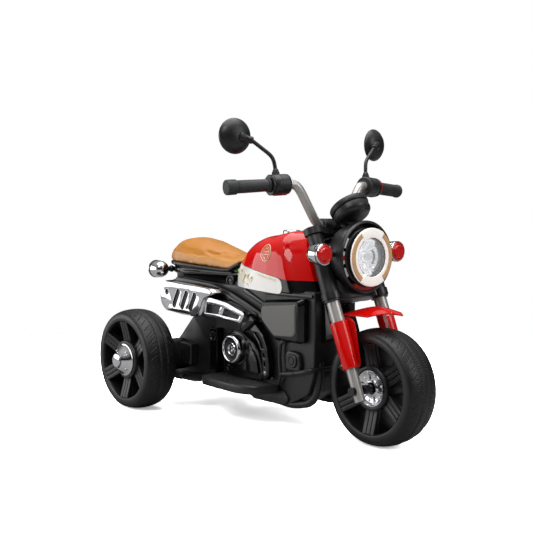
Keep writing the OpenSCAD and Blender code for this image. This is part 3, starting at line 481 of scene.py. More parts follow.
# --- Fork legs ------------------------------------------------------------------------------
# Each leg is a silver tube with a thinner slider below it. A black moulded cover goes over the
# top half, a little wider at its foot, and a black bolt through the sliders holds the front axle.

stem_foot = np.array([323.7, 0, 121.3]) * mm
stem_way = np.array([-0.3811, 0, 0.9245])
ahead = np.array([0.9245, 0, 0.3811])
leg_at = np.array([36, -78, 0]) * mm


def raked(points):
    """Points of the steering's own frame, (ahead of the stem, across, up it), in the frame."""
    points = np.asarray(points, float)
    return stem_foot + points[..., :1] * ahead + points[..., 1:2] * (0, 1, 0) + points[..., 2:] * stem_way


def tilted(part):
    """A part made in the steering's own frame, set in the frame."""
    return raked(part[0]), part[1]


def both(parts):
    """The parts of the right side and their mirror images on the left."""
    return parts + [flipped(part) for part in parts]


def on_leg(part):
    """A part made along +Z stood on the right leg's line, its x ahead."""
    return placed(part, raked(leg_at), stem_way, ahead)


satin_silver = moulded("silver_painted_steel_tube", "#b8b5b1", 0.34, 8 * mm, 0.01 * mm, "#b2afab",
                       spread=0.02, Metallic=0.6)
satin_black = moulded("moulded_abs_fine_satin", "#19191b", 0.38, 0.7 * mm, 0.012 * mm, "#1f1f21",
                      Specular_IOR_Level=0.45)
slider = turned([(0, -26), (9, -26), (11.5, -26), (12.5, -25), (12.5, 112), (0, 112)], count=48)
upper = turned([(0, 108), (13.5, 108), (15.5, 109.5), (15.5, 250), (0, 250)], count=48)
piece("fork_leg_tubes", "steering", [both([on_leg(slider), on_leg(upper)])], [satin_silver],
      ["fork_tubes"])
cover = turned([(16, 209), (20.2, 208.6), (20.8, 209.4), (20.7, 212), (19.9, 250), (18.8, 300),
                (18.1, 345), (18, 371), (17.2, 373.6), (15.6, 374.6), (0, 374.8), (0, 370), (15.9, 366)],
               count=64)
piece("fork_leg_covers", "steering", [both([on_leg(cover)])], [satin_black], ["fork_covers"])

# --- Front mudguard and leg shrouds ---------------------------------------------------------
# One red moulding: a hood with a ridge and a pointed nose, a side plate down each leg, and a
# slightly tapering shroud round each tube with one steel screw through it.

gloss_red = moulded("moulded_abs_gloss_red", "#d80d08", 0.1, 25 * mm, 0.02 * mm, "#d00b07", spread=0.02,
                    Coat_Weight=0.2, Coat_Roughness=0.05, Specular_IOR_Level=0.4)
screw_steel = moulded("nickel_plated_screw", "#a9abad", 0.25, 0.8 * mm, 0.01 * mm, Metallic=1.0)


def hood(lift):
    """The hood's skin: across it a ridge that falls with a power of the distance from the middle,
    and along it a low arch that ends in a V. Lift raises it."""
    side = np.linspace(-1, 1, 41)[None, :]
    t = np.linspace(0, 1, 31)[:, None]
    start = 282 + 4 * side ** 2
    end = 421 - 64 * np.abs(side) ** 1.1
    x = start + (end - start) * t
    climb = 14 * np.sin(np.clip((x - 282) / 76, 0, 1) * math.pi / 2)
    ridge = 303 + climb - 14.5 * np.clip((x - 340) / 81, 0, 1) ** 1.4
    rim = 296 + 2 * np.sin(np.clip((x - 284) / 90, 0, 1) * math.pi)
    z = rim + (ridge - rim) * (1 - np.abs(side) ** 1.7)
    return np.stack([x, (57 - 10 * t ** 1.5) * side, z + lift], -1) * mm


def walled(outer, inner):
    """Two grids of the same size with strips round their edges: a sheet with a thickness."""
    n, m = outer.shape[:2]
    points = np.concatenate([outer.reshape(-1, 3), inner.reshape(-1, 3)])
    near = np.arange(n * m).reshape(n, m)
    loop = np.concatenate([near[0], near[1:, -1], near[-1, -2::-1], near[-2:0:-1, 0]])
    over = np.stack([loop, np.roll(loop, -1), np.roll(loop, -1) + n * m, loop + n * m], -1)
    skin = np.stack([near[:-1, :-1], near[1:, :-1], near[1:, 1:], near[:-1, 1:]], -1).reshape(-1, 4)
    return points, np.concatenate([skin, skin[:, ::-1] + n * m, over])


def mesh_points(mesh):
    """The points of a mesh, a row each."""
    flat = np.empty(len(mesh.vertices) * 3)
    mesh.vertices.foreach_get("co", flat)
    return flat.reshape(-1, 3)


def plate(outlines, thick, edge, rounds=2):
    """A flat part from outlines in a plane, the first outside and the rest holes, with rounded
    edges. It is centred on z = 0, and the rounding stands outside the outlines."""
    curve = bpy.data.curves.new("outline", "CURVE")
    curve.dimensions, curve.fill_mode = "2D", "BOTH"
    curve.extrude, curve.bevel_depth, curve.bevel_resolution = thick / 2 - edge, edge, rounds
    for outline in outlines:
        spline = curve.splines.new("POLY")
        spline.points.add(len(outline) - 1)
        spline.points.foreach_set("co", np.column_stack([outline, np.zeros(len(outline)),
                                                         np.ones(len(outline))]).ravel())
        spline.use_cyclic_u = True
    holder = bpy.data.objects.new("outline", curve)
    bpy.context.scene.collection.objects.link(holder)
    mesh = bpy.data.meshes.new_from_object(holder.evaluated_get(bpy.context.evaluated_depsgraph_get()))
    points = mesh_points(mesh)
    faces = [list(face.vertices) for face in mesh.polygons]
    bpy.data.objects.remove(holder)
    bpy.data.curves.remove(curve)
    bpy.data.meshes.remove(mesh)
    return points, faces


def eased(points, reach, closed=False, steps=6):
    """A path with round corners: each becomes a parabola from reach before it to reach after."""
    points = np.asarray(points, float)
    t = np.linspace(0, 1, steps)[:, None]
    before, after = np.roll(points, 1, 0), np.roll(points, -1, 0)
    runs = []
    for a, corner, b in zip(before, points, after):
        to_a, to_b = np.linalg.norm(a - corner), np.linalg.norm(b - corner)
        start = corner + (a - corner) * min(reach / to_a, 0.48)
        end = corner + (b - corner) * min(reach / to_b, 0.48)
        runs.append((1 - t) ** 2 * start + 2 * t * (1 - t) * corner + t ** 2 * end)
    if not closed:
        runs[0], runs[-1] = points[:1], points[-1:]
    return np.concatenate(runs)


def outline(points, reach, steps=6):
    """A closed outline with round corners in metres, from its corners and their reach in mm."""
    return eased(np.array(points, float) * mm, reach * mm, closed=True, steps=steps)


def stood(part, across):
    """A plate made in the plane of x and z stood upright there: its own z becomes the distance
    across, towards the rider's right."""
    points = part[0]
    return np.stack([points[:, 0], -across - points[:, 2], points[:, 1]], -1), part[1]


def slab(outlines, thick, edge, across, rounds=2):
    """An upright plate on the right side, from outlines in side view. Its thickness, its rounded
    edge and the distance across to its middle are in mm."""
    return stood(plate(outlines, thick * mm, edge * mm, rounds), across * mm)


skirt_line = outline([(30, 174), (33, 60), (36, 53), (43, 53), (47, 60), (60, 128), (62, 140),
                             (63, 150), (56, 162)], 7)
skirt = tilted(slab([skirt_line], 3.2, 1, 56))
shroud = turned([(16, 53), (17, 51), (18.2, 51.2), (18.6, 53), (20, 110), (20.9, 157), (20.6, 159.6),
                          (19.2, 160), (18.6, 158), (16.2, 80)], closed=True, count=72)
screw_way = (-0.6, -0.8, 0.2)
foot_screw = placed(dome(3.4, 2.2, 20), raked(leg_at + np.array([-13, -13.2, 64]) * mm), screw_way)
cross_slot = placed(bar(0.6, 0.5, 0.2, [(-2, 0, 0), (2, 0, 0)]),
                    raked(leg_at + np.array([-14.4, -14.9, 64.4]) * mm), screw_way)
piece("front_mudguard_moulding", "steering",
      [[walled(hood(2.4), hood(-0.6))] + both([skirt, on_leg(shroud)]), both([foot_screw]),
       both([cross_slot])], [gloss_red, screw_steel, satin_black], ["front_mudguard"])

# --- Steering head --------------------------------------------------------------------------
# The yokes and the stem are black-painted steel. A moulded chin closes the lower yoke in front
# and reaches up under the lamp.

painted_black = moulded("black_painted_steel", "#131314", 0.3, 1.5 * mm, 0.02 * mm, "#1b1b1c")
finished(painted_black, "fork_stem")
finished(satin_black, "upper_yoke")
finished(moulded("moulded_nylon_bush", "#d8d4c8", 0.5, 0.5 * mm, 0.01 * mm), "head_bushes")
finished(painted_black, "front_axle")
chin_plan = outline([(18, -64), (46, -62), (60, -34), (64, 0), (60, 34), (46, 62), (18, 64)], 14)
chin_rows = [(0.90, 209.5), (0.97, 210.5), (1.0, 214), (1.0, 226), (1.03, 240), (1.08, 262), (1.1, 276)]
middle = np.array([30, 0]) * mm
chin_rings = np.stack([np.column_stack([(chin_plan - middle) * (grow, min(grow, 1.0)) + middle,
                                        np.full(len(chin_plan), rise * mm)]) for grow, rise in chin_rows])
piece("lower_yoke_chin", "steering", [[tilted(grid(shut(chin_rings), wrap_v=True))]],
      [satin_black])

# --- Headlamp -------------------------------------------------------------------------------
# A black bucket with a beaded rim. Inside it a plated reflector, a frosted ring with two tan
# arcs, and a clear lens stand on white and red brackets, which show in the gap at the rim.

lamp_at = np.array([0, 0, 430]) * mm
nose = (1, 0, 0)


def on_lamp(part):
    """A part made along +Z laid along the lamp's line, its own x up."""
    return placed(part, lamp_at, nose)


bucket = turned([(0, 227), (24, 228), (46, 232), (61, 240), (71, 252), (77, 267), (79.6, 284),
                 (80.2, 297), (79.4, 299.5), (81, 300.4), (83.6, 301.6), (84.6, 304.5), (84.2, 308),
                 (82.4, 310.8), (80, 311.4), (78, 310), (77, 306), (75.4, 288), (72, 283), (0, 282)],
                count=128)
cheek = placed(turned([(0, 20), (36, 20), (37, 40), (34, 52), (27, 61), (22, 66), (20, 72), (0, 72)],
                      count=64), (247 * mm, 0, 428 * mm), (0, -1, 0))
piece("headlamp_bucket", "steering", [[on_lamp(bucket)] + both([cheek])], [satin_black],
      ["headlight_shell"])


def arc_plate(inner, outer, middle_angle, half_angle, thick, edge, at):
    """A flat piece of a ring, from two arcs about the lamp's line, standing at x = at, in mm."""
    a = np.radians(np.linspace(middle_angle - half_angle, middle_angle + half_angle, 40))
    way = np.stack([np.cos(a), np.sin(a)], -1)
    part = plate([np.concatenate([outer * way, inner * way[::-1]]) * mm], thick * mm, edge * mm)
    return on_lamp(moved(part, 0, 0, at))


# the frosted ring glows faintly: painted light that makes the ring read bright white
frosted_painted_glow = moulded("frosted_pc_guide_painted_glow", "#f3f1ee", 0.35, 0.8 * mm, 0.02 * mm, "#ece9e5",
                  Emission_Strength=0.3, Emission_Color=hexed("#fff8f2"))
tan_tint = moulded("tinted_pc_arc", "#d4a977", 0.3, 0.8 * mm, 0.02 * mm, "#dcb284")
white_abs = moulded("moulded_white_abs", "#eeeae6", 0.3, 0.7 * mm, 0.01 * mm, "#e6e2de")
red_abs = moulded("moulded_red_abs", "#b5201b", 0.3, 0.7 * mm, 0.01 * mm, "#a51814")
clear_lens = moulded("clear_pc_lens", "#f6fafc", 0.05, 20 * mm, 0.05 * mm, spread=0.02, Alpha=0.16,
                     Specular_IOR_Level=0.8)
plinth = turned([(43, 309), (60, 309), (61, 311), (61, 322.6), (47, 322.6), (45.4, 324.4), (44, 324.4),
                          (43, 323)], closed=True, count=128)
guide_disc = turned([(46, 321.6), (66.4, 321.6), (67.4, 322.4), (67.4, 324.4), (66.4, 325.4), (64, 325.6),
                     (46, 325.4)], closed=True, count=128)
caps = [arc_plate(46, 65.6, angle, 33, 5, 1, 326.4) for angle in (0, 180)]
tan_arcs = [arc_plate(55.5, 65.4, angle, 55, 3, 0.8, 325.8) for angle in (90, -90)]
pale_arcs = [arc_plate(47.5, 53.5, angle, 52, 3, 0.8, 325.6) for angle in (90, -90)]
piece("headlamp_guide_ring", "steering",
      [[on_lamp(guide_disc)] + caps + pale_arcs, tan_arcs, [on_lamp(plinth)]],
      [frosted_painted_glow, tan_tint, satin_black], ["headlight_guide"])
bowl = turned([(0, 284), (43, 286), (45, 290), (45, 312), (42.5, 312), (41.5, 306), (34, 296), (20, 289),
               (0, 287)], count=128, wobble=lambda a,
              z: 0.7 * mm * np.cos(24 * a) * ((z > 294 * mm) & (z < 308 * mm)))
backing = turned([(45, 286), (60, 288), (66, 298), (68, 307), (66, 309), (45, 309)], closed=True, count=96)
# the reflector bowl, its bulb and fans glow faintly: a painted glow that stands in for the bright
# reflections in the bowl
aluminised_painted_glow = moulded("aluminised_reflector_painted_glow", "#f2f2f4", 0.24, 6 * mm, 0.02 * mm, "#e4e4e8", Metallic=0.6,
                     Emission_Strength=0.3, Emission_Color=hexed("#ffffff"))
# grey for arcs that copy the grey reflections in the plated bowl: painted reflections
grey_painted_reflection = moulded("grey_painted_reflection_arcs", "#8d8e92", 0.3, 6 * mm, 0.02 * mm, "#9a9b9f", Metallic=0.5)
bulb = turned([(16, 288), (16, 300), (14.5, 302), (11.5, 302), (11, 308), (9, 311), (0, 312)], count=48)
fan = bar(1.2, 2.4, 0.6, [(16, 0, 299), (27, 0, 302), (40, 0, 310)])
fans = [on_lamp(spun(fan, angle)) for angle in np.radians([20, 75, 105, 160, 200, 250, 290, 340])]
# arcs on one side of the bowl only: painted reflections of the room in the plated reflector
painted_reflection_arcs = [arc_plate(r, r + 3, angle, half, 3, 0.6, 313)
             for r, angle, half in ((18, -90, 50), (34, -70, 30), (34, -125, 22), (38, -98, 62))]
piece("headlamp_reflector_bowl", "steering",
      [[on_lamp(bowl), on_lamp(bulb)] + fans, painted_reflection_arcs, [on_lamp(backing)]],
      [aluminised_painted_glow, grey_painted_reflection, satin_black], ["headlight_reflector"])
lens_x = np.array([(0, 322.4), (20, 322), (34, 320.8), (42.6, 318.6), (44, 317.2), (42, 316.2),
                   (33, 318.4), (0, 320)])
piece("headlamp_lens", "steering", [[on_lamp(turned(lens_x + (0, 6.5), count=128))]],
      [clear_lens], ["headlight_lens"])
brackets = [arc_plate(69.5, 76.2, angle, half, 12, 0.8, 300) for angle, half in
            ((62, 9), (118, 8), (-62, 9), (-118, 8), (90, 11), (-90, 11))]
red_brackets = [arc_plate(69.5, 77, angle, half, 18, 0.8, 298) for angle, half in
                ((180, 30), (90, 4), (-90, 4))]
piece("headlamp_brackets", "steering", [brackets, red_brackets], [white_abs, red_abs])

# --- Front turn signals ---------------------------------------------------------------------
# A plated bullet on a black stub from each side of the bucket, with a red lens facing ahead in
# a plated bezel.

red_lens = moulded("translucent_red_pc", "#e01a12", 0.2, 4 * mm, 0.02 * mm, "#c10c0a", spread=0.03,
                   Subsurface_Weight=0.25, Subsurface_Scale=0.004, Coat_Weight=0.4)
signal_at = np.array([0, -121, 439]) * mm
bullet = turned([(0, 246.5), (8, 247.6), (15, 251), (20.4, 257), (23.4, 266), (24.3, 278), (24.4, 289),
                          (23.9, 290), (0, 290)], count=72)
seal = turned([(24.6, 287.6), (25, 288.6), (25, 291.4), (24.6, 292.2), (20, 292.2), (20, 287.6)],
              closed=True, count=72)
bezel = turned([(21, 291), (24.8, 291.6), (25.2, 293), (24.4, 295.2), (22.4, 295.6), (21, 294)],
               closed=True, count=72)
button = turned([(0, 290), (22.2, 290), (22.2, 294.4), (21.4, 297), (19, 298), (16, 297.4), (14.6, 299.6),
                          (13.2, 300.8), (0, 301)], count=72)
stub = placed(turned([(7, 0), (8.4, 8), (7, 12), (7, 20), (9.5, 24), (9.5, 46), (0, 46)], count=40),
              (280.5 * mm, -100 * mm, 439 * mm), (0, 1, 0))


def signal(at, way, foot, body, name, node_names):
    """A pair of turn signals whose lenses face along way, from the right one's place and stub."""
    lamp = {part: placed(made, at, way) for part, made in
            (("bullet", bullet), ("bezel", bezel), ("seal", seal), ("button", button))}
    piece(name + "_bullets", body,
          [both([lamp["bullet"], lamp["bezel"]]), both([lamp["seal"], foot])], [plated, satin_black],
          node_names[:1])
    piece(name + "_buttons", body, [both([lamp["button"]])], [red_lens], node_names[1:])


signal(signal_at, nose, stub, "steering", "front_signal", ["front_signal_shells", "front_signal_lenses"])

# --- Handlebar ------------------------------------------------------------------------------
# A silver painted steel tube, bent up from its clamp and back to the grips. Two black sleeves
# stand on the upper yoke and hold its middle.

grip_in, grip_out = np.array([177, -116, 599]), np.array([145, -280.5, 588.5])
bar_right = np.array([(188, 0, 500), (188, -43, 500), (183, -100, 593), grip_in, grip_out]) * mm
bar_path = eased(np.concatenate([bar_right[::-1], bar_right[1:] * (1, -1, 1)]), 26 * mm, steps=14)
bar_path = np.unique(np.round(bar_path, 7), axis=0)
bar_path = bar_path[np.argsort(bar_path[:, 1])]


def swept(path, radius, sides=28, lean=(1, 0, 0)):
    """A round bar along a path, closed at both ends: circles square to the path, whose first
    radius lies across the path and lean. The radius may change along it."""
    path = np.asarray(path, float)
    way = np.gradient(path, axis=0)
    way /= np.linalg.norm(way, axis=1)[:, None]
    side = np.cross(way, lean)
    side /= np.linalg.norm(side, axis=1)[:, None]
    up = np.cross(side, way)
    angle = np.arange(sides) * 2 * math.pi / sides
    radius = np.broadcast_to(radius, len(path))[:, None, None]
    rings = path[:, None] + radius * (np.cos(angle)[:, None] * side[:, None]
                                      + np.sin(angle)[:, None] * up[:, None])
    return grid(shut(rings), wrap_v=True)


piece("handlebar_tube", "steering", [[swept(bar_path, 11 * mm)]], [satin_silver],
      ["handlebar"])
sleeve = placed(turned([(11.2, 0), (13.4, 0), (14.4, 1), (14.4, 30), (13.4, 31), (11.2, 31)], closed=True,
                       count=48), (188 * mm, -28 * mm, 500 * mm), (0, 1, 0))
riser_cap = slab([outline([(168, 486), (168, 507), (180, 517), (198, 517), (207, 505), (207, 486)], 6)],
                 16, 1.4, 26)
piece("bar_clamp_caps", "steering", [both([sleeve, riser_cap])], [satin_black])

# --- Switch housings and grips --------------------------------------------------------------
# Each housing is a two-part moulded drum with a collar towards the grip. The right grip is
# smooth and turns; the left one is knurled soft plastic behind a red ring.

grip_way = (grip_out - grip_in) / np.linalg.norm(grip_out - grip_in)


def on_grip(part, across):
    """A part made along +Z laid outwards on the right grip's line, from that distance across."""
    start = grip_in + (grip_out - grip_in) * (across + grip_in[1]) / (grip_in[1] - grip_out[1])
    return placed(part, start * mm, grip_way, (0, 0, 1))


grip_rubber = moulded("moulded_tpe_grip", "#232425", 0.55, 0.6 * mm, 0.04 * mm, "#2c2d2e")
housing_in = 126
drum = turned([(11.2, 0), (20, 0), (22.4, 1), (23.6, 3), (24, 8), (24, 24), (23.4, 24.5), (23.4, 25.3),
               (24, 25.8), (24, 40), (23, 42), (21.8, 42.4), (21.8, 43.6), (23.4, 44), (24.2, 45),
               (24.2, 48), (23, 49), (11.2, 49)], closed=True, count=72)
pip = dome(1.8, 1, 16)
housing_pip = on_grip(moved((pip[0][:, ::-1], pip[1]), 22.6, 6, 16), housing_in)
lever_rib = on_grip(placed(bar(3, 2, 1, [(0, 0, 0), (34, 0, 0)]),
                           (-23.4 * mm, 0, 6 * mm), (-1, 0, 0), (0, 0, 1)), housing_in)
for side in ("right", "left"):
    piece("switch_drum_" + side, "steering",
          [sided([on_grip(drum, housing_in), housing_pip, lever_rib], side)], [satin_black],
          ["switch_housing_" + side])

smooth = turned([(11.2, 0), (16, 0), (17, 1), (17, 5), (16.2, 6), (14.6, 6.6), (14.4, 9), (15, 60),
                 (15, 82), (14.2, 82.6), (14.2, 84), (15.4, 84.6), (16.4, 86), (17.4, 87), (17.6, 96),
                 (17.6, 108), (16.8, 110.5), (14, 111.6), (0, 112)], count=64)
piece("throttle_grip_sleeve", "throttle", [[on_grip(smooth, 175)]], [grip_rubber],
      ["throttle_grip"])
knurl_line = np.concatenate([[(11.2, 0), (15.6, 0)],
                             np.stack([np.full(61, 15.2), np.linspace(0.6, 98, 61)], -1),
                             [(16.6, 99), (17.2, 101), (17.2, 105), (16, 107.4), (12, 108), (0, 108)]])


def knurls(angle, z):
    """Square lumps in rows, round the left grip and along it."""
    lumps = 0.75 * mm * np.sign(np.sin(12 * angle)) * np.sign(np.sin(z / (4.4 * mm) * math.pi))
    return lumps * ((z > 3 * mm) & (z < 96 * mm))


knurled = turned(knurl_line, count=96, wobble=knurls)
piece("left_grip_sleeve", "steering", [[flipped(on_grip(knurled, 179))]], [grip_rubber],
      ["left_grip"])
ring = turned([(11.2, 0), (22, 0), (23, 0.8), (23, 3), (22, 3.8), (11.2, 3.8)], closed=True, count=72)
piece("left_grip_red_ring", "steering", [[flipped(on_grip(ring, 175.2))]], [red_abs],
      ["grip_ring"])
yellow_abs = moulded("moulded_yellow_abs", "#d9a21b", 0.3, 0.7 * mm, 0.01 * mm, "#cf9712")
finished(red_abs, "horn_button")
finished(yellow_abs, "start_button")

# --- Mirrors --------------------------------------------------------------------------------
# Black round shells with a conical boss, on bent rods that screw into the housings. The glass
# faces the rider and is turned 9 degrees in.

mirror_glass = moulded("silvered_acrylic_mirror", "#e9eef0", 0.02, 30 * mm, 0.01 * mm, spread=0.01,
                       Metallic=1.0)
mirror_at = np.array([113, -231, 708]) * mm
ball_at = np.array([137, -203, 698]) * mm
toe = math.radians(9)
mirror_back = np.array([math.cos(toe), -math.sin(toe), 0])
shell = turned([(0, 15.5), (12, 15), (23, 12.4), (32, 8), (38, 2.6), (41, -1.6), (41.6, -4), (41.2, -5.6),
                         (39.4, -6.4), (38.2, -5.2), (38, -4), (0, -4)], count=96)
boss_way = ball_at - mirror_at
boss = swept(mirror_at + np.linspace(0.3, 0.96, 6)[:, None] * boss_way,
             np.array([15, 13.5, 11, 9, 8, 7.6]) * mm, lean=(0, 0, 1))
knuckle = swept(ball_at + np.linspace(-0.16, 0.1, 4)[:, None] * boss_way,
                np.array([8.6, 8.6, 8.6, 7]) * mm, lean=(0, 0, 1))
stalk_path = eased(np.array([(159.3, -149.5, 616), (158, -150, 640), (154, -155, 662),
                             (137, -203, 698)]) * mm, 14 * mm)
stalk = swept(stalk_path, 4.6 * mm, 20)
foot_nut = placed(turned([(0, 0), (11, 0), (11, 3), (9.6, 5), (9.2, 12), (8, 14), (4.8, 15)], count=6),
                  (160 * mm, -149.5 * mm, 613 * mm), (-0.06, 0, 1))
foot_cone = placed(turned([(0, 0), (7.6, 0), (7, 4), (5.4, 7), (4.4, 8)], count=32),
                   (159.4 * mm, -149.5 * mm, 626 * mm), (-0.06, 0, 1))
piece("mirror_rods", "steering", [both([stalk, foot_nut, foot_cone])], [satin_black],
      ["mirror_stalks"])
for side in ("right", "left"):
    piece("mirror_housing_" + side, "mirror_" + side,
          [sided([placed(shell, mirror_at, mirror_back), boss, knuckle], side)], [satin_black],
          ["mirror_shell_" + side])
    finished(mirror_glass, "mirror_glass_" + side)

# --- Gauge ----------------------------------------------------------------------------------
# A round black pod that leans back to the rider, with a dial, a needle and a clear cover. It
# stands on a ribbed post from the upper yoke.

gauge_at = np.array([258, 0, 535]) * mm
gauge_up = (-math.sin(math.radians(38)), 0, math.cos(math.radians(38)))


def on_gauge(part):
    """A part made along +Z stood on the gauge's own line, its x ahead."""
    return placed(part, gauge_at, gauge_up, nose)


pod = turned([(0, -19), (33, -19), (39, -17), (43.6, -12), (45, -8), (45, 3.4), (43.4, 4.4), (43.4, 5.6),
              (46.8, 6), (47.4, 6.8), (47.4, 17.8), (46.6, 19), (43, 19.2), (41, 18.4), (40, 16.4),
              (39.8, 14.4), (0, 14.4)], count=120)
pod_knob = on_gauge(placed(turned([(0, 0), (8, 0), (9, 4), (7.6, 6), (5.6, 6), (5, 4), (0, 4)], count=40),
                           (34 * mm, 14 * mm, -12 * mm), (0.8, 0.2, -0.6)))
post = swept(np.array([(204, 0, 500), (226, 0, 511), (249, 0, 523)]) * mm, np.array([20, 18, 22]) * mm,
             lean=(0, 1, 0))
tick = bar(0.6, 0.3, 0.2, [(32, 0, 15), (37, 0, 15)])
ticks = [on_gauge(spun(tick, angle)) for angle in np.radians(np.arange(-60, 241, 20))]
needle = on_gauge(bar(1, 0.4, 0.3, [(-6, 0, 16), (12, -9, 16), (28, -20, 16)]))
hub_dot = on_gauge(moved(dome(4, 2.4), 0, 0, 15))
piece("gauge_pod_shell", "steering",
      [[on_gauge(pod), pod_knob, post], ticks, [needle, hub_dot]], [satin_black, white_abs, red_abs],
      ["gauge_pod"])
cover = turned([(0, 18.6), (25, 18), (39.4, 16.6), (39.4, 15.8), (25, 17), (0, 17.6)], count=96)
piece("gauge_cover", "steering", [[on_gauge(cover)]], [clear_lens])

# --- Tank -----------------------------------------------------------------------------------
# A blow-moulded dummy tank: a gloss red cover over a black base, with a white trim strip on
# each side. Every cross-section is a superellipse, and the sections lean back at the front
# with the steering head.

deck = 341


def flowing(x, table, window=18):
    """A value along x from a table of (x, value): straight lines between them, averaged over a
    window in mm so that no corner is left."""
    table = np.asarray(table, float)
    shifts = np.linspace(-window / 2, window / 2, 9)
    return np.mean([np.interp(x + shift, table[:, 0], table[:, 1]) for shift in shifts], axis=0)


tank_widths = [(-106, 44), (-101, 58), (-84, 68), (-50, 79), (0, 88), (60, 92.5), (110, 92), (136, 89),
               (147, 84), (160, 75), (180, 63), (200, 53)]
tank_tops = [(-106, 394), (-100, 412), (-87, 428), (-68, 445), (-40, 461), (-3, 473), (90, 484), (158, 488),
             (200, 486)]


def tank_point(x, rise, inset=0.0):
    """A point of the tank's right side in mm. x is along the deck, and rise from 0 at the deck to
    1 at the crown. Half the width falls as (1 - rise^n)^(1/n), and the front leans back."""
    power = np.interp(x, [-104, -40, 60], [2.5, 3.0, 3.5])
    width = flowing(x, tank_widths, 14) - inset
    top = flowing(x, tank_tops, 24) - inset
    z = deck + (top - deck) * rise
    y = width * (1 - np.clip(rise, 0, 1) ** power) ** (1 / power)
    lean = 0.411 * np.clip((x - 40) / 120, 0, 1) ** 1.2
    return np.stack([x - lean * (z - deck), -y, z], -1)


def edge_height(x):
    """Height in mm of the red cover's lower edge."""
    return np.interp(x, [-110, -81, 112, 140, 240], [406, 402, 374, 370, 369])


def tank_rise(x, z):
    """How far up the tank a height in mm is, from 0 at the deck to 1 at the crown."""
    return (z - deck) / (flowing(x, tank_tops, 24) - deck)


def tank_shell(low, inset, x_range, high=None):
    """A closed body of the tank's form, from the rises low to the crown, or to high."""
    x = np.linspace(*x_range, 90)
    t = np.linspace(0, 1, 33)[None, :]
    start = low(x)[:, None]
    end = 1.0 if high is None else high(x)[:, None]
    turn = np.sin(t * math.pi / 2) if high is None else t
    half = tank_point(x[:, None] + 0 * t, start + (end - start) * turn, inset)
    ring = np.concatenate([half, (half * (1, -1, 1))[:, ::-1][:, (1 if high is None else 0):]], axis=1)
    return grid(shut(ring * mm), wrap_v=True)


red_skin = tank_shell(lambda x: tank_rise(x, edge_height(x)), 0.0, (-104, 200))
base_skin = tank_shell(lambda x: 0 * x, 1.6, (-103, 199), lambda x: tank_rise(x, edge_height(x) + 6))
gloss_black = moulded("moulded_abs_gloss_black", "#070708", 0.14, 22 * mm, 0.03 * mm, "#0a0a0b",
                      spread=0.03, Specular_IOR_Level=0.42)
piece("tank_red_cover", "chassis", [[red_skin]], [gloss_red], ["tank_cover"], sharp=50)
piece("tank_black_base", "chassis", [[base_skin]], [gloss_black], sharp=50)


def on_tank(x, z, lift):
    """Points on the tank's right side at the heights z, raised by lift, all in mm."""
    return tank_point(x, tank_rise(x, z)) - np.array([0, lift, 0])


def strip_skin(lift):
    """The white strip's skin between its lower and upper edges, with round corners."""
    x = np.concatenate([np.linspace(-99, 100, 70), 100 + 17 * np.sin(np.linspace(0.1, math.pi / 2, 16))])
    corner = np.sqrt(np.clip(1 - ((x - 100) / 17.2).clip(0, 1) ** 2, 0, 1))
    tail = np.sqrt(np.clip(1 - ((-89 - x) / 10.4).clip(0, 1) ** 2, 0, 1))
    low, high = 343 - 0.035 * (x + 100), edge_height(x) - 1.2
    middle = low + (high - low) * 0.55
    low = middle - (middle - low) * corner * tail
    high = middle + (high - middle) * np.minimum(corner ** 0.6, 1) * tail ** 0.5
    t = np.linspace(0, 1, 17)[None, :]
    return on_tank(x[:, None] + 0 * t, low[:, None] + (high - low)[:, None] * t, lift) * mm


gloss_white = moulded("moulded_abs_gloss_white", "#efece8", 0.16, 22 * mm, 0.04 * mm, "#e9e6e2",
                      spread=0.03, Coat_Weight=0.4)
piece("tank_white_strips", "chassis", [both([walled(strip_skin(1.0), strip_skin(-2.5))])],
      [gloss_white], ["tank_strips"])

# Printed trim: an oval badge with a blank band, a scroll with leaves on each strip, and a thin
# double line. Each is a low ridge of lacquer on the moulding.

gold_ink = moulded("gold_pad_print", "#e0cf92", 0.4, 1.5 * mm, 0.01 * mm, "#e3cd84")
cream_ink = moulded("cream_pad_print", "#ecd9b4", 0.35, 1.5 * mm, 0.01 * mm, "#e5cfa4")
green_ink = moulded("green_pad_print", "#7fae3c", 0.4, 1.5 * mm, 0.01 * mm, "#8dbb49")


def ridge(x, z, wide, lift=0.5):
    """A lacquer ridge along a line on the right side of the tank, given by x and z in mm."""
    line = on_tank(np.asarray(x, float), np.asarray(z, float), lift) * mm
    return swept(line, np.asarray(wide) * mm, 8, (0.1, 1, 0.05))


turn = np.linspace(0, 2 * math.pi, 49)
badge_x, badge_z = 50, 433
badge = [ridge(badge_x + r * 1.15 * np.cos(turn), badge_z + r * np.sin(turn), wide)
         for r, wide in ((20.5, 1.2), (14.5, 0.8))]
reach = np.linspace(-15.4, 15.4, 9)
badge += [ridge(badge_x + reach, badge_z + drop + 0 * reach, 0.9) for drop in (4.2, -4.2)]
badge.append(ridge([50, 50, 50], [419, 423, 427], [0.5, 1.6, 0.5]))
badge.append(ridge([45, 50, 55], [441.5, 443.5, 441.5], [0.5, 1.4, 0.5]))
sweep = np.linspace(0, 1, 60)
scroll = [ridge(-80 + 82 * sweep, 372 - 8 * sweep + 7 * np.sin(sweep * 4.2 * math.pi),
                0.5 + 0.9 * np.sin(sweep * math.pi), 1.5)]


def leaf(x, z, ahead_by, up_by, wide):
    """A leaf on the tank's side from x and z, that runs so far ahead and up, all in mm."""
    share = np.linspace(0, 1, 12)
    return ridge(x + ahead_by * share, z + up_by * share ** 0.7, 0.3 + wide * np.sin(share * math.pi), 1.5)


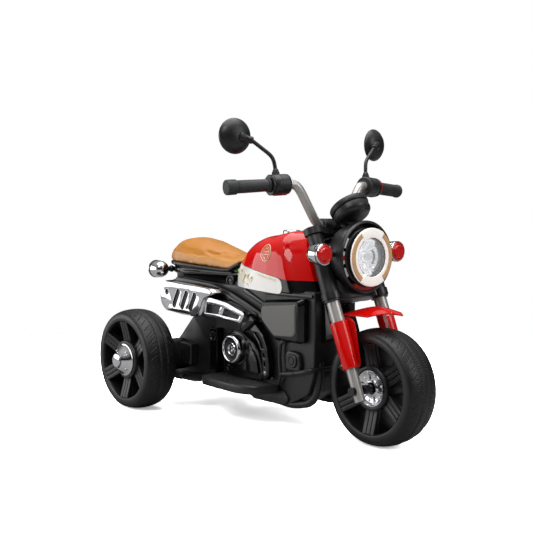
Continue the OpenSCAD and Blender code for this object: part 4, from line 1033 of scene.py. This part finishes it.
scroll += [leaf(*run, 1.9) for run in ((-62, 376, 10, 12), (-44, 365, 8, 13), (-27, 366, 9, 12),
                                       (-52, 364, 9, -9), (-30, 356, 10, -7), (-10, 364, 10, 9))]
leaves = [leaf(*run, 2.2) for run in ((-84, 378, -7, 9), (-82, 371, -9, 2))]
line_x = np.linspace(22, 102, 24)
lines = [ridge(line_x, edge_height(line_x) - drop, 0.7, 1.3) for drop in (6, 9.5)]
piece("tank_badges", "chassis", [both(badge)], [cream_ink])
piece("tank_scrolls", "chassis", [both(scroll + lines), both(leaves)], [gold_ink, green_ink])

cap_axis = np.array([48, 0, 0]) * mm
cap_ring = turned([(0, 476), (21, 476), (22.4, 484), (21.6, 486.6), (19.6, 488.2), (17, 488.6),
                   (15.4, 487.6), (14.6, 485.8), (0, 485.4)], count=80)
cap_lock = turned([(6.2, 484), (6.2, 487.6), (5.4, 488.8), (0, 489)], count=32)
piece("tank_filler_cap", "chassis",
      [[placed(cap_ring, cap_axis)], [placed(cap_lock, cap_axis)]], [plated, satin_black], ["tank_cap"])

# --- Saddle ---------------------------------------------------------------------------------
# Moulded foam under tan leathercloth, crowned at the back and drawn in at the waist, where the
# cover creases. The pad is blown up from a slightly smaller form as cloth.

seat_widths = [(-432, 20), (-428, 36), (-418, 52), (-402, 62), (-370, 76), (-320, 81), (-260, 74),
               (-200, 60), (-150, 50.5), (-96, 42)]
seat_tops = [(-434, 400), (-430, 416), (-420, 434), (-400, 448), (-380, 456), (-335, 460), (-281, 454),
             (-228, 442), (-182, 429), (-142, 419.5), (-112, 418), (-96, 418)]
seat_floors = [(-434, 399), (-400, 397), (-300, 392), (-170, 383), (-150, 384), (-122, 398), (-96, 405)]


def seat_crease(x):
    """Height of the crease between the crown and the side band, as a share of the pad's height."""
    return np.interp(x, [-430, -400, -330, -250, -180, -100], [0.9, 0.72, 0.52, 0.5, 0.66, 0.8])


def seat_section(x, rise):
    """Half the saddle's width in mm at a share of its height: a superellipse with a leaning side
    band below the crease and a pinched waist."""
    power = np.interp(x, [-430, -330, -230, -150], [2.2, 2.3, 2.0, 2.6])
    width = flowing(x, seat_widths, 16)
    base = (1 - np.clip(rise, 0, 1) ** power) ** (1 / power)
    pinch = np.exp(-((rise - seat_crease(x)) / 0.09) ** 2)
    waist = np.exp(-((x + 215) / 70) ** 2)
    return width * base - 2.6 * pinch - 3.2 * waist * np.clip(rise - 0.35, 0, 1) * base


# band is a lighter tan on both sides below the crown: a painted highlight for the side lamp's sheen on the
# cover
leather = moulded("pvc_leathercloth_tan", "#b26f16", 0.36, 1.1 * mm, 0.05 * mm, "#ba7920", patch=60 * mm,
                  spread=0.05, band="#c98d4a", Specular_IOR_Level=0.5, Sheen_Weight=0.08)
# the rows stand closer together towards the round tail
seat_back, seat_front = -431.5, -99
spread = (1 - np.cos(np.linspace(0.16, 1, 100) * math.pi / 1.35)) / (1 - math.cos(math.pi / 1.35))
x = np.clip(seat_back + (seat_front - seat_back) * spread, seat_back, seat_front)[:, None]
t = np.linspace(0, 1, 29)[None, :]
floor_z = flowing(x, seat_floors, 16)
top_z = flowing(x, seat_tops, 12)
rise = np.sin(t * math.pi / 2)
half = np.stack([x + 0 * t, -seat_section(x, rise), floor_z + (top_z - floor_z) * rise], -1)
pad_rings = np.concatenate([half, (half * (1, -1, 1))[:, ::-1][:, 1:]], axis=1)
saddle = piece("saddle_cover", "chassis", [[grid(shut(pad_rings * mm), wrap_v=True)]],
               [leather], ["seat_pad"], sharp=180)
most_swell = 3 * mm
cloth_frames = 20
bpy.context.view_layer.objects.active = saddle
saddle.select_set(True)
remesh = saddle.modifiers.new("even_faces", "REMESH")
remesh.mode, remesh.voxel_size = "VOXEL", 4.5 * mm
bpy.ops.object.modifier_apply(modifier=remesh.name)
before = mesh_points(saddle.data)
cloth = saddle.modifiers.new("blown_cover", "CLOTH")
cloth.settings.use_pressure = True
cloth.settings.uniform_pressure_force = 4
cloth.settings.tension_stiffness = cloth.settings.compression_stiffness = 40
cloth.settings.bending_stiffness = 6
cloth.settings.effector_weights.gravity = 0
cloth.point_cache.frame_start, cloth.point_cache.frame_end = 1, cloth_frames
for step in range(1, cloth_frames + 1):
    bpy.context.scene.frame_set(step)
bpy.ops.object.modifier_apply(modifier=cloth.name)
bpy.context.scene.frame_set(1)
moves = mesh_points(saddle.data) - before
length = np.linalg.norm(moves, axis=1)[:, None] + 1e-9
swollen = before + moves / length * np.minimum(length, most_swell)
floors = np.array(seat_floors) * mm
swollen[:, 2] = np.maximum(swollen[:, 2], np.interp(swollen[:, 0], floors[:, 0], floors[:, 1]))
saddle.data.vertices.foreach_set("co", swollen.ravel())
rounder = saddle.modifiers.new("smooth_cover", "SUBSURF")
rounder.levels = rounder.render_levels = 1
bpy.ops.object.modifier_apply(modifier=rounder.name)
saddle.data.polygons.foreach_set("use_smooth", [True] * len(saddle.data.polygons))

# folds at the waist, drawn in as soft grooves: start and end as (x, z), bow, depth and width
skin = mesh_points(saddle.data) / mm
for start, end, bow, depth, wide in (((-262, 434), (-168, 424), 7, 1.9, 4.2),
                                     ((-246, 427), (-190, 420), 5, 1.6, 3.4),
                                     ((-228, 436), (-150, 421), 4, 1.2, 3.6),
                                     ((-286, 421), (-226, 417), 4, 1.0, 3.6)):
    share = np.clip((skin[:, 0] - start[0]) / (end[0] - start[0]), 0, 1)
    line = start[1] + (end[1] - start[1]) * share - bow * np.sin(share * math.pi)
    fold = np.exp(-((skin[:, 2] - line) / wide) ** 2) * np.sin(share * math.pi) * (np.abs(skin[:, 1]) > 12)
    skin[:, 1] -= np.sign(skin[:, 1]) * depth * fold
    skin[:, 2] -= 0.7 * depth * fold
saddle.data.vertices.foreach_set("co", (skin * mm).ravel())
saddle.data.update()
# the sides below this height take the lighter band colour: a painted highlight
low = np.interp(skin[:, 0], *np.array(seat_floors).T)
share = (skin[:, 2] - low) / (np.interp(skin[:, 0], *np.array(seat_tops).T) - low)
painted_sheen_line = np.interp(skin[:, 0], [-430, -390, -330, -240, -170], [0.8, 0.5, 0.42, 0.46, 0.6])
band = saddle.data.attributes.new("band", "FLOAT", "POINT")
band.data.foreach_set("value", np.clip((painted_sheen_line - share) / 0.07 + 0.5, 0, 1))

# --- Tail -----------------------------------------------------------------------------------
# A gloss black moulding under the saddle: a round lip along the pad's edge, two ledges below
# it, and a ring boss near the tank. Its frame arms run forward and down over the mufflers.

tail_plan = [(-95, 44), (-150, 52), (-200, 62), (-260, 76), (-320, 84), (-370, 79), (-402, 61),
             (-422, 40), (-431, 14)]
plan = np.concatenate([tail_plan, (np.array(tail_plan) * (1, -1))[::-1]])
plan = eased(plan, 24, closed=True, steps=5)
plan = plan[np.linalg.norm(plan - np.roll(plan, 1, 0), axis=1) > 0.05]
along = np.roll(plan, -1, 0) - np.roll(plan, 1, 0)
outward = np.stack([along[:, 1], -along[:, 0]], -1) / np.linalg.norm(along, axis=1)[:, None]
outward *= np.sign(np.sum(outward * (plan - np.array([-260, 0])), axis=1))[:, None]
tail_rows = [(8, 392, 1), (1.5, 391.6, 1), (-1, 390, 1), (-1.4, 387, 1), (-0.6, 383.5, 1),
             (1.5, 382.4, 0.9), (6.5, 382, 0.8), (9, 378, 0.6), (8.4, 373, 0.4), (6.6, 371, 0.3),
             (6.4, 367, 0.2), (7.4, 364.6, 0.1), (12.5, 363, 0), (15.5, 358, 0), (15, 344, 0),
             (17, 341.5, 0)]
lift = np.interp(plan[:, 0], *np.array(seat_floors).T) - 391.5
tail_rings = np.stack([np.column_stack([plan - outward * inset, z + lift * share]) for inset, z,
                       share in tail_rows])
boss = turned([(0, 0), (13.4, 0), (14, 6), (13.2, 8), (11.4, 8.4), (10, 7.4), (9.4, 4.6), (6, 4.4),
               (5, 6.4), (0, 6.8)], count=56)
piece("tail_moulding", "chassis",
      [[grid(shut(tail_rings * mm), wrap_v=True)]
       + both([placed(boss, np.array([-124, -58, 354]) * mm, (0.12, -1, 0))])], [gloss_black],
      ["upper_cover"])
arm_line = outline([(-352, 343), (-346, 350), (-330, 350), (-265, 346), (-181, 341), (-111, 325),
                    (-39, 301), (34, 274), (22, 258), (-49, 283), (-84, 297), (-111, 309), (-161, 322),
                    (-240, 331), (-330, 339)], 14)
arm_rib = outline([(-250, 341), (-181, 336), (-111, 320), (-45, 297), (10, 277), (8, 272), (-47, 291),
                   (-111, 315), (-181, 331), (-250, 337)], 4)
piece("frame_arms", "chassis",
      [both([slab([arm_line], 22, 3.4, 72, 3), slab([arm_rib], 5, 1.6, 84)])],
      [gloss_black], sharp=20)

# --- Rear turn signals ----------------------------------------------------------------------
# The front bullets again, on short stubs from the tail with the lens to the rear.

rear_signal = np.array([-142.5, -92, 372]) * mm
rear_stub = placed(turned([(0, 0), (6.5, 0), (6.5, 10), (9, 13), (9.6, 17), (8, 21), (6, 23), (6, 34),
                           (10, 37), (10, 44), (0, 44)], count=40), (-409 * mm, -72 * mm, 372 * mm),
                   (0, 1, 0))
signal(rear_signal, (-1, 0, 0), rear_stub, "chassis", "rear_signal",
       ["rear_signal_shells", "rear_signal_lenses"])

# --- Body -----------------------------------------------------------------------------------
# Two gloss black shells, screwed together in the middle, hold the battery. Outside they carry
# a square shoulder on each side, panels on the nose, and dummy engine parts below.

core = slab([outline([(-178, 86), (-60, 74), (-24, 63), (109, 65), (180, 100), (198, 146), (203, 245),
                      (203, 341), (-95, 341), (-150, 341), (-178, 265)], 10)], 136, 4, 0, 3)
rear_frame = slab([outline([(-160, 86), (-383, 86), (-383, 163), (-337, 205), (-294, 247), (-398, 300),
                            (-403, 340), (-160, 340)], 10)], 116, 3, 0)
neck = slab([outline([(160, 206), (243, 243), (205, 340), (120, 340)], 8)], 92, 4, 0)
head_tube = tilted(turned([(15.4, 233), (21, 233), (22.4, 236), (22.4, 366), (21, 370.6), (15.4, 370.6)],
                          closed=True, count=56))
web = tilted(slab([outline([(-28, 234), (-12, 234), (-12, 370), (-28, 370)], 3)], 34, 1.4, 0))


def shrunk(line, middle_at, inset):
    """An outline whose points have all moved so far towards a middle."""
    way = line - np.asarray(middle_at, float)
    return line - way / np.linalg.norm(way, axis=1)[:, None] * inset


def frustum(line, rows, middle_at):
    """A block from an outline in side view, in mm: each row gives how much the outline shrinks
    towards a middle, in mm, and its distance across. Two more rows keep the end face flat."""
    inset, end = rows[-1]
    rings = []
    for inset, across in rows + [(inset + 3, end), (inset + 8, end)]:
        ring = shrunk(line, middle_at, inset)
        rings.append(np.column_stack([ring[:, 0], np.full(len(ring), -across), ring[:, 1]]))
    return grid(shut(np.stack(rings) * mm), wrap_v=True)


def outboard(part, x, z, across):
    """A part made along +Z laid outwards on the right side at x and z, from that distance across,
    all in mm."""
    return placed(part, np.array([x, -across, z]) * mm, (0, -1, 0))


shoulder_line = eased(np.array([(33, 266), (33, 308), (42, 317), (182, 328), (186, 318), (184, 226),
                                (174, 220), (84, 220)]), 5, closed=True)
shoulder = frustum(shoulder_line, [(0, 60), (0, 82), (1, 84), (9, 95), (11, 96)], (115, 272))
square_line = eased(np.array([(-179, 112), (-150, 112), (-148, 116), (-148, 224), (-151, 228),
                              (-179, 228)]), 3, closed=True)
square = frustum(square_line, [(0, 50), (0, 86), (1.2, 89), (3, 90)], (-164, 170))
square_boss = outboard(turned([(0, 0), (13, 0), (13, 3), (10.5, 4.6), (9, 3), (8, 1.2), (5, 1), (4, 2.6),
                               (0, 2.8)], count=48), -165, 205, 88)
brace = slab([outline([(-300, 246), (-262, 296), (-150, 296), (-150, 262), (-236, 258)], 6)], 12, 2, 62)
side_rails = [slab([outline(line, 3)], 5, 1.4, 70)
              for line in ([(30, 330), (200, 330), (200, 337), (30, 337)],
                           [(-60, 330), (20, 300), (24, 306), (-54, 337)])]
body_parts = [neck, head_tube, web] + both([shoulder, square, square_boss, brace] + side_rails)
piece("body_shells", "chassis", [body_parts, [core, rear_frame]], [gloss_black, satin_black],
      ["body_shell_right", "body_shell_left"], sharp=20)
battery_case = moulded("moulded_pp_battery_case", "#3d4650", 0.5, 0.8 * mm, 0.02 * mm, "#353d46")
finished(battery_case, "battery")
finished(moulded("green_solder_mask_board", "#1f5a30", 0.35, 2 * mm, 0.02 * mm, "#184a27"), "control_board")
finished(screw_steel, "shell_screws")
finished(satin_black, "charge_socket")
finished(red_abs, "power_rocker")

nose_panel = outline([(-62, 236), (-10, 236), (-7, 240), (-7, 318), (-12, 324), (-58, 324), (-63, 318)], 6)


def faced(outlines, thick, edge, x):
    """A plate that faces the nose at x, from outlines of y and height. Its thickness, its rounded
    edge and x are in mm."""
    points, faces = plate(outlines, thick * mm, edge * mm)
    return np.stack([x * mm + points[:, 2], points[:, 0], points[:, 1]], -1), faces


nose_parts = [faced([nose_panel], 5, 1.6, 203)]
hole_turn = np.linspace(0, 2 * math.pi, 17)[:-1]
for y0, y1 in ((-66, -42), (-38, -12)):
    square_line = outline([(y0, 188), (y1, 188), (y1, 226), (y0, 226)], 4)
    hole = np.stack([(y0 + y1) / 2 + 2.4 * np.cos(hole_turn), 213 + 2.4 * np.sin(hole_turn)], -1) * mm
    nose_parts.append(faced([square_line, hole], 8, 1.4, 199))
nose_parts.append(faced([outline([(-66, 172), (-10, 172), (-10, 182), (-66, 182)], 3)], 10, 2, 198))
piece("nose_panels", "chassis", [both(nose_parts)], [satin_black], sharp=20)

crash_bar = eased(np.array([(104, -82, 139), (150, -83, 146), (196, -78, 158), (203, -56, 160),
                            (203, 0, 160)]) * mm, 16 * mm, steps=8)
pipe = eased(np.array([(196, -42, 176), (199, -46, 120), (184, -52, 76), (120, -58, 62),
                       (40, -58, 68)]) * mm, 24 * mm, steps=9)
riser_pipe = eased(np.array([(112, -74, 222), (94, -78, 214), (92, -79, 176), (98, -80, 138),
                             (84, -76, 110)]) * mm, 12 * mm, steps=7)
carb_plate = eased(np.array([(114, 150), (165, 150), (167, 172), (160, 196), (124, 200), (112, 190)]), 10,
                   closed=True)
carb = frustum(carb_plate, [(0, 60), (0, 76), (2, 79), (5, 80)], (140, 174))
carb_cap = outboard(turned([(0, 0), (17, 0), (17, 4), (15.4, 5.6), (11, 5.6), (10, 4), (9, 4), (8, 6.4),
                            (0, 6.6)], count=56), 141, 176, 79)
bar_bolts = [placed(dome(4.6, 3.4, 20), np.array(at) * mm, (0, -1, 0.1))
             for at in ((106, -87, 139), (150, -88, 146), (66, -80, 122))]
belly = slab([outline([(-18, 62), (100, 62), (116, 76), (100, 92), (-10, 92), (-30, 76)], 7)], 8, 2.4, 70)
across_lean = (0, 1, 0)
engine_parts = both([swept(crash_bar, 6 * mm), swept(pipe, 10 * mm, lean=across_lean),
                     swept(riser_pipe, 4.5 * mm, lean=across_lean), carb, carb_cap, belly] + bar_bolts)
piece("dummy_engine_parts", "chassis", [engine_parts], [satin_black], sharp=20)

# --- Engine covers --------------------------------------------------------------------------
# A cover with round corners on each side, under an arched strip with a long slot and two small
# square ones. Three cross-headed screws hold them.

cover_line = outline([(-117, 117), (-121, 176), (-113, 212), (-88, 227), (-56, 226), (-10, 204),
                      (16, 176), (34, 134), (34, 122), (20, 114)], 9)
inner_line = outline([(-24, 190), (-2, 184), (14, 160), (22, 130), (-6, 126), (-26, 132)], 6)
arch_line = outline([(-46, 236), (-38, 252), (-16, 257), (6, 253), (36, 229), (54, 196), (61, 160),
                     (59, 128), (46, 116), (37, 126), (39, 156), (34, 184), (20, 210), (0, 229),
                     (-24, 234)], 7)
arch_holes = [outline(line, 2.4) for line in
              ([(10, 236), (33, 212), (41, 194), (33, 192), (24, 208), (3, 229)],
               [(43, 186), (47, 172), (40, 171), (36, 184)], [(48, 164), (50, 150), (42, 150), (41, 163)])]
cover_groove = slab([outline([(-108, 124), (-112, 176), (-104, 205), (-86, 218), (-58, 217), (-20, 200),
                              (6, 172), (20, 138), (12, 126)], 9)], 4, 1.4, 84.6)
small_boss = [outboard(turned([(0, 0), (r, 0), (r, 4), (r * 0.8, 5.6), (r * 0.6, 4), (r * 0.5, 2.4),
                               (0, 2)], count=40), x, z, 83) for x, z,
              r in ((8, 144, 9), (-104, 132, 6), (-8, 178, 5))]
clutch_seat = outboard(turned([(0, 0), (44, 0), (43, 4), (40, 5), (0, 5)], count=80), -67, 183, 83)
arm_clip = slab([outline([(-42, 240), (-20, 262), (2, 272), (14, 262), (-4, 250), (-30, 232)], 4)], 12, 2,
                92)
cover_parts = [slab([cover_line], 16, 3, 76, 3), cover_groove, clutch_seat,
               slab([inner_line], 5, 1.4, 87), slab([arch_line] + arch_holes, 19, 1.8, 79.5),
               arm_clip] + small_boss
piece("engine_side_covers", "chassis", [both(cover_parts)], [gloss_black],
      ["engine_covers"], sharp=20)
head = dome(4.4, 2.2, 24)
washer = turned([(4.6, 0), (5.8, 0), (5.8, 1.4), (4.6, 1.4)], closed=True, count=24)
heads = [outboard(part, x, z, 88.6) for part in (head, washer) for x, z in ((48, 135), (-26, 245))]
piece("engine_cover_screws", "chassis", [both(heads)], [screw_steel])

# --- Clutch rings ---------------------------------------------------------------------------
# A plated ring round a black disc with fine radial ribs and a plated star in the middle.

clutch_at = np.array([-67, 0, 183]) * mm


def on_clutch(part):
    """A part made along +Z laid outwards on the right clutch's line."""
    return placed(part, clutch_at, (0, -1, 0))


chrome_ring = turned([(28, 86), (36.4, 86), (37.2, 88), (37.2, 102), (36.2, 106.6), (34, 109.4),
                      (31.6, 110), (29.6, 109.4), (28.2, 107)], closed=True, count=96)
disc = turned([(0, 84), (28.6, 84), (28.6, 103.4), (27, 104.6), (25.6, 103), (18.4, 102.4), (17, 104.6),
               (15, 105), (13.6, 103.6), (12.6, 101), (0, 100.6)], count=96)
disc_rib = bar(0.6, 0.8, 0.3, [(18.2, 0, 102.6), (25.4, 0, 103.2)])
disc_ribs = [spun(disc_rib, angle) for angle in np.arange(36) * math.pi / 18]
hub_ring = turned([(11.4, 100), (16.4, 100), (16.6, 105.4), (15.4, 106.8), (13.2, 106.8), (11.6, 104.6)],
                  closed=True)
star = [hub_ring] + ringed(dome(3.4, 3, 24), 3, 5, 0.5, 100.4)
piece("clutch_chrome_rings", "chassis",
      [both([on_clutch(part) for part in [chrome_ring] + star]),
       both([on_clutch(part) for part in [disc] + disc_ribs])], [plated, satin_black], ["clutch_rings"])

# --- Side panels ----------------------------------------------------------------------------
# A satin grey plate with a bevelled edge, clipped on each square shoulder.
# Its grey is a painted reflection of the side lamp in black gloss plastic.

# flat grey painted in: a painted reflection of the side lamp in black gloss plastic
panel_reflection_grey = moulded("grey_painted_reflection_panel", "#5a5956", 0.42, 0.8 * mm, 0.01 * mm, "#636260",
                     patch=80 * mm)
panel_line = eased(np.array([(46, 270), (43, 297), (51, 303), (167, 315), (171, 311), (171, 246),
                             (161, 236), (92, 232)]), 7, closed=True)
panel = frustum(panel_line, [(0, 92), (0, 97), (1.4, 98.6), (3.2, 99.6)], (118, 276))
piece("side_cover_panels", "chassis", [both([panel])], [panel_reflection_grey], ["side_panels"],
      sharp=20)

# --- Mufflers and heat shields --------------------------------------------------------------
# Plated plastic boxes with round edges. Three slanted slots with a rolled rim and a round hole
# open each muffler's face, and two windows open each shield.

muffler_line = eased(np.array([(-368, 344), (-381, 307), (-377, 279), (-354, 260), (-280, 253),
                               (-196, 255), (-181, 276), (-167, 307), (-128, 322), (-144, 334),
                               (-226, 342), (-307, 345)]), 12, closed=True)
muffler_mid = (-265, 300)
muffler_body = frustum(muffler_line, [(4, 78), (0, 82), (0, 103), (1.5, 108), (5, 112.5), (9, 114.6)],
                       muffler_mid)
face_line = shrunk(muffler_line, muffler_mid, 8)


def slot_line(a, b, r):
    """A slot's outline: two half circles of radius r round a and b."""
    lean = math.atan2(b[1] - a[1], b[0] - a[0])
    t = np.linspace(-math.pi / 2, math.pi / 2, 13) + lean
    half_circle = r * np.stack([np.cos(t), np.sin(t)], -1)
    return np.concatenate([np.array(b) + half_circle, np.array(a) - half_circle])


slots = [slot_line((-306 + 38 * i, 281 - 2 * i), (-286 + 38 * i, 317 - 3 * i), 9.4) for i in range(3)]
round_hole = slot_line((-341.2, 314), (-340.8, 314), 9)
face = slab([face_line * mm] + [hole * mm for hole in slots + [round_hole]], 5, 1.2, 115.5)


def rolled(line, r, across):
    """A rolled rim of radius r round a closed outline in side view, all in mm."""
    ring = np.column_stack([line[:, 0], np.full(len(line), -across), line[:, 1]])
    sides = 10
    angle = (np.arange(sides) * 2 * math.pi / sides)[:, None]
    step = np.roll(ring, -1, 0) - np.roll(ring, 1, 0)
    side = np.cross(step / np.linalg.norm(step, axis=1)[:, None], (0, 1, 0))
    points = ring[:, None] + r * (np.cos(angle) * side[:, None] + np.sin(angle) * np.array([0, 1, 0]))
    return grid(points * mm, wrap_u=True, wrap_v=True)


rims = [rolled(slot, 0.9, 117.2) for slot in slots] + [rolled(round_hole, 1.1, 117.4)]
back_plate = slab([face_line * mm], 2, 0.5, 114.2)
shield_line = outline([(-168, 306), (-150, 308), (-82, 300), (-14, 281), (-10, 274), (-24, 256),
                       (-84, 260), (-152, 261), (-176, 263), (-182, 272)], 6)
windows = [outline(line, 3) for line in ([(-166, 297), (-102, 291), (-117, 267), (-174, 267)],
                                         [(-90, 289), (-24, 274), (-32, 261), (-104, 266)])]
shield = slab([shield_line] + windows, 25, 2, 98.5)
shield_core = slab([outline([(-172, 300), (-84, 294), (-22, 276), (-32, 262), (-172, 267)], 4)], 16, 1, 92)
piece("muffler_boxes", "chassis",
      [both([muffler_body, face] + rims), both([back_plate])], [plated, tyre_plastic], ["mufflers"],
      sharp=20)
piece("heat_shield_plates", "chassis", [both([shield]), both([shield_core])],
      [plated, tyre_plastic], ["heat_shields"], sharp=20)

# --- Footrests ------------------------------------------------------------------------------
# Thick satin black boards on both sides of the belly, with a raised anti-slip grain on top.

board = eased(np.array([(-176, -70), (-152, -136), (-138, -147), (-110, -152), (15, -157), (45, -149),
                        (68, -135), (86, -70)]), 12, closed=True)
board_rows = ((5, 87.4), (1, 88), (0, 90), (0, 104.5), (1, 107.6), (3.4, 109.2), (7, 109.6), (8, 108.9),
              (10, 108.8))
board_rings = np.stack([np.column_stack([shrunk(board, (-48, -90), inset), np.full(len(board), z)])
                        for inset, z in board_rows])
spots_x, spots_y = np.meshgrid(np.arange(-140, 62, 8.0), np.arange(-140, -82, 7.0))
rng = np.random.default_rng(7)
spots = np.stack([spots_x.ravel(), spots_y.ravel()], -1) + rng.uniform(-2, 2, (spots_x.size, 2))
corners = np.clip(-spots[:, 0] - 128, 0, 99), np.clip(spots[:, 0] - 36, 0, 99)
inside = spots[:, 1] > -146 + 0.9 * corners[0] + 0.9 * corners[1]
pebble = dome(1, 1, 7)
pebbles = [moved((pebble[0] * (r, 0.7 * r, 1.0), pebble[1]), x, y, 108.7)
           for (x, y), r in zip(spots[inside], rng.uniform(2.0, 3.4, inside.sum()))]
piece("footrest_boards", "chassis",
      [both([grid(shut(board_rings * mm), wrap_v=True)] + pebbles)], [satin_black], ["footrests"],
      merge=2e-6)

# --- Rear drive -----------------------------------------------------------------------------
# A round gearbox with its motor stands beside each rear wheel, and a steel tray joins them.

gear = turned([(0, 58), (41, 58), (44, 61), (44, 96), (42.6, 97), (42.6, 100), (44, 101), (44, 141),
               (46.8, 146), (46.8, 158), (45, 160), (12, 160), (12, 158), (0, 158)], count=96)
gear_box = frustum(eased(np.array([(-337, 112), (-279, 112), (-277, 170), (-337, 172)]), 6, closed=True),
                   [(0, 60), (0, 80), (3, 83)], (-308, 142))
gear_screws = [outboard(dome(3.6, 2.4, 18), x, z, 83) for x, z in ((-286, 118), (-286, 164))]
gear_parts = [placed(gear, (rear_x, 0, axle_z), (0, -1, 0)), gear_box] + gear_screws
for side in ("right", "left"):
    piece("gearbox_housing_" + side, "chassis", [sided(gear_parts, side)], [satin_black],
          ["gearbox_" + side])
tray_line = outline([(-384, -124), (-196, -124), (-196, 124), (-384, 124)], 8)
tray = moved(plate([tray_line], 4 * mm, 0.8 * mm), 0, 0, 83.5)
tray_lip = slab([outline([(-332, 80), (-262, 80), (-268, 90), (-326, 90)], 3)], 3, 0.6, 123)
piece("axle_tray", "chassis", [[tray] + both([tray_lip])], [zinc])
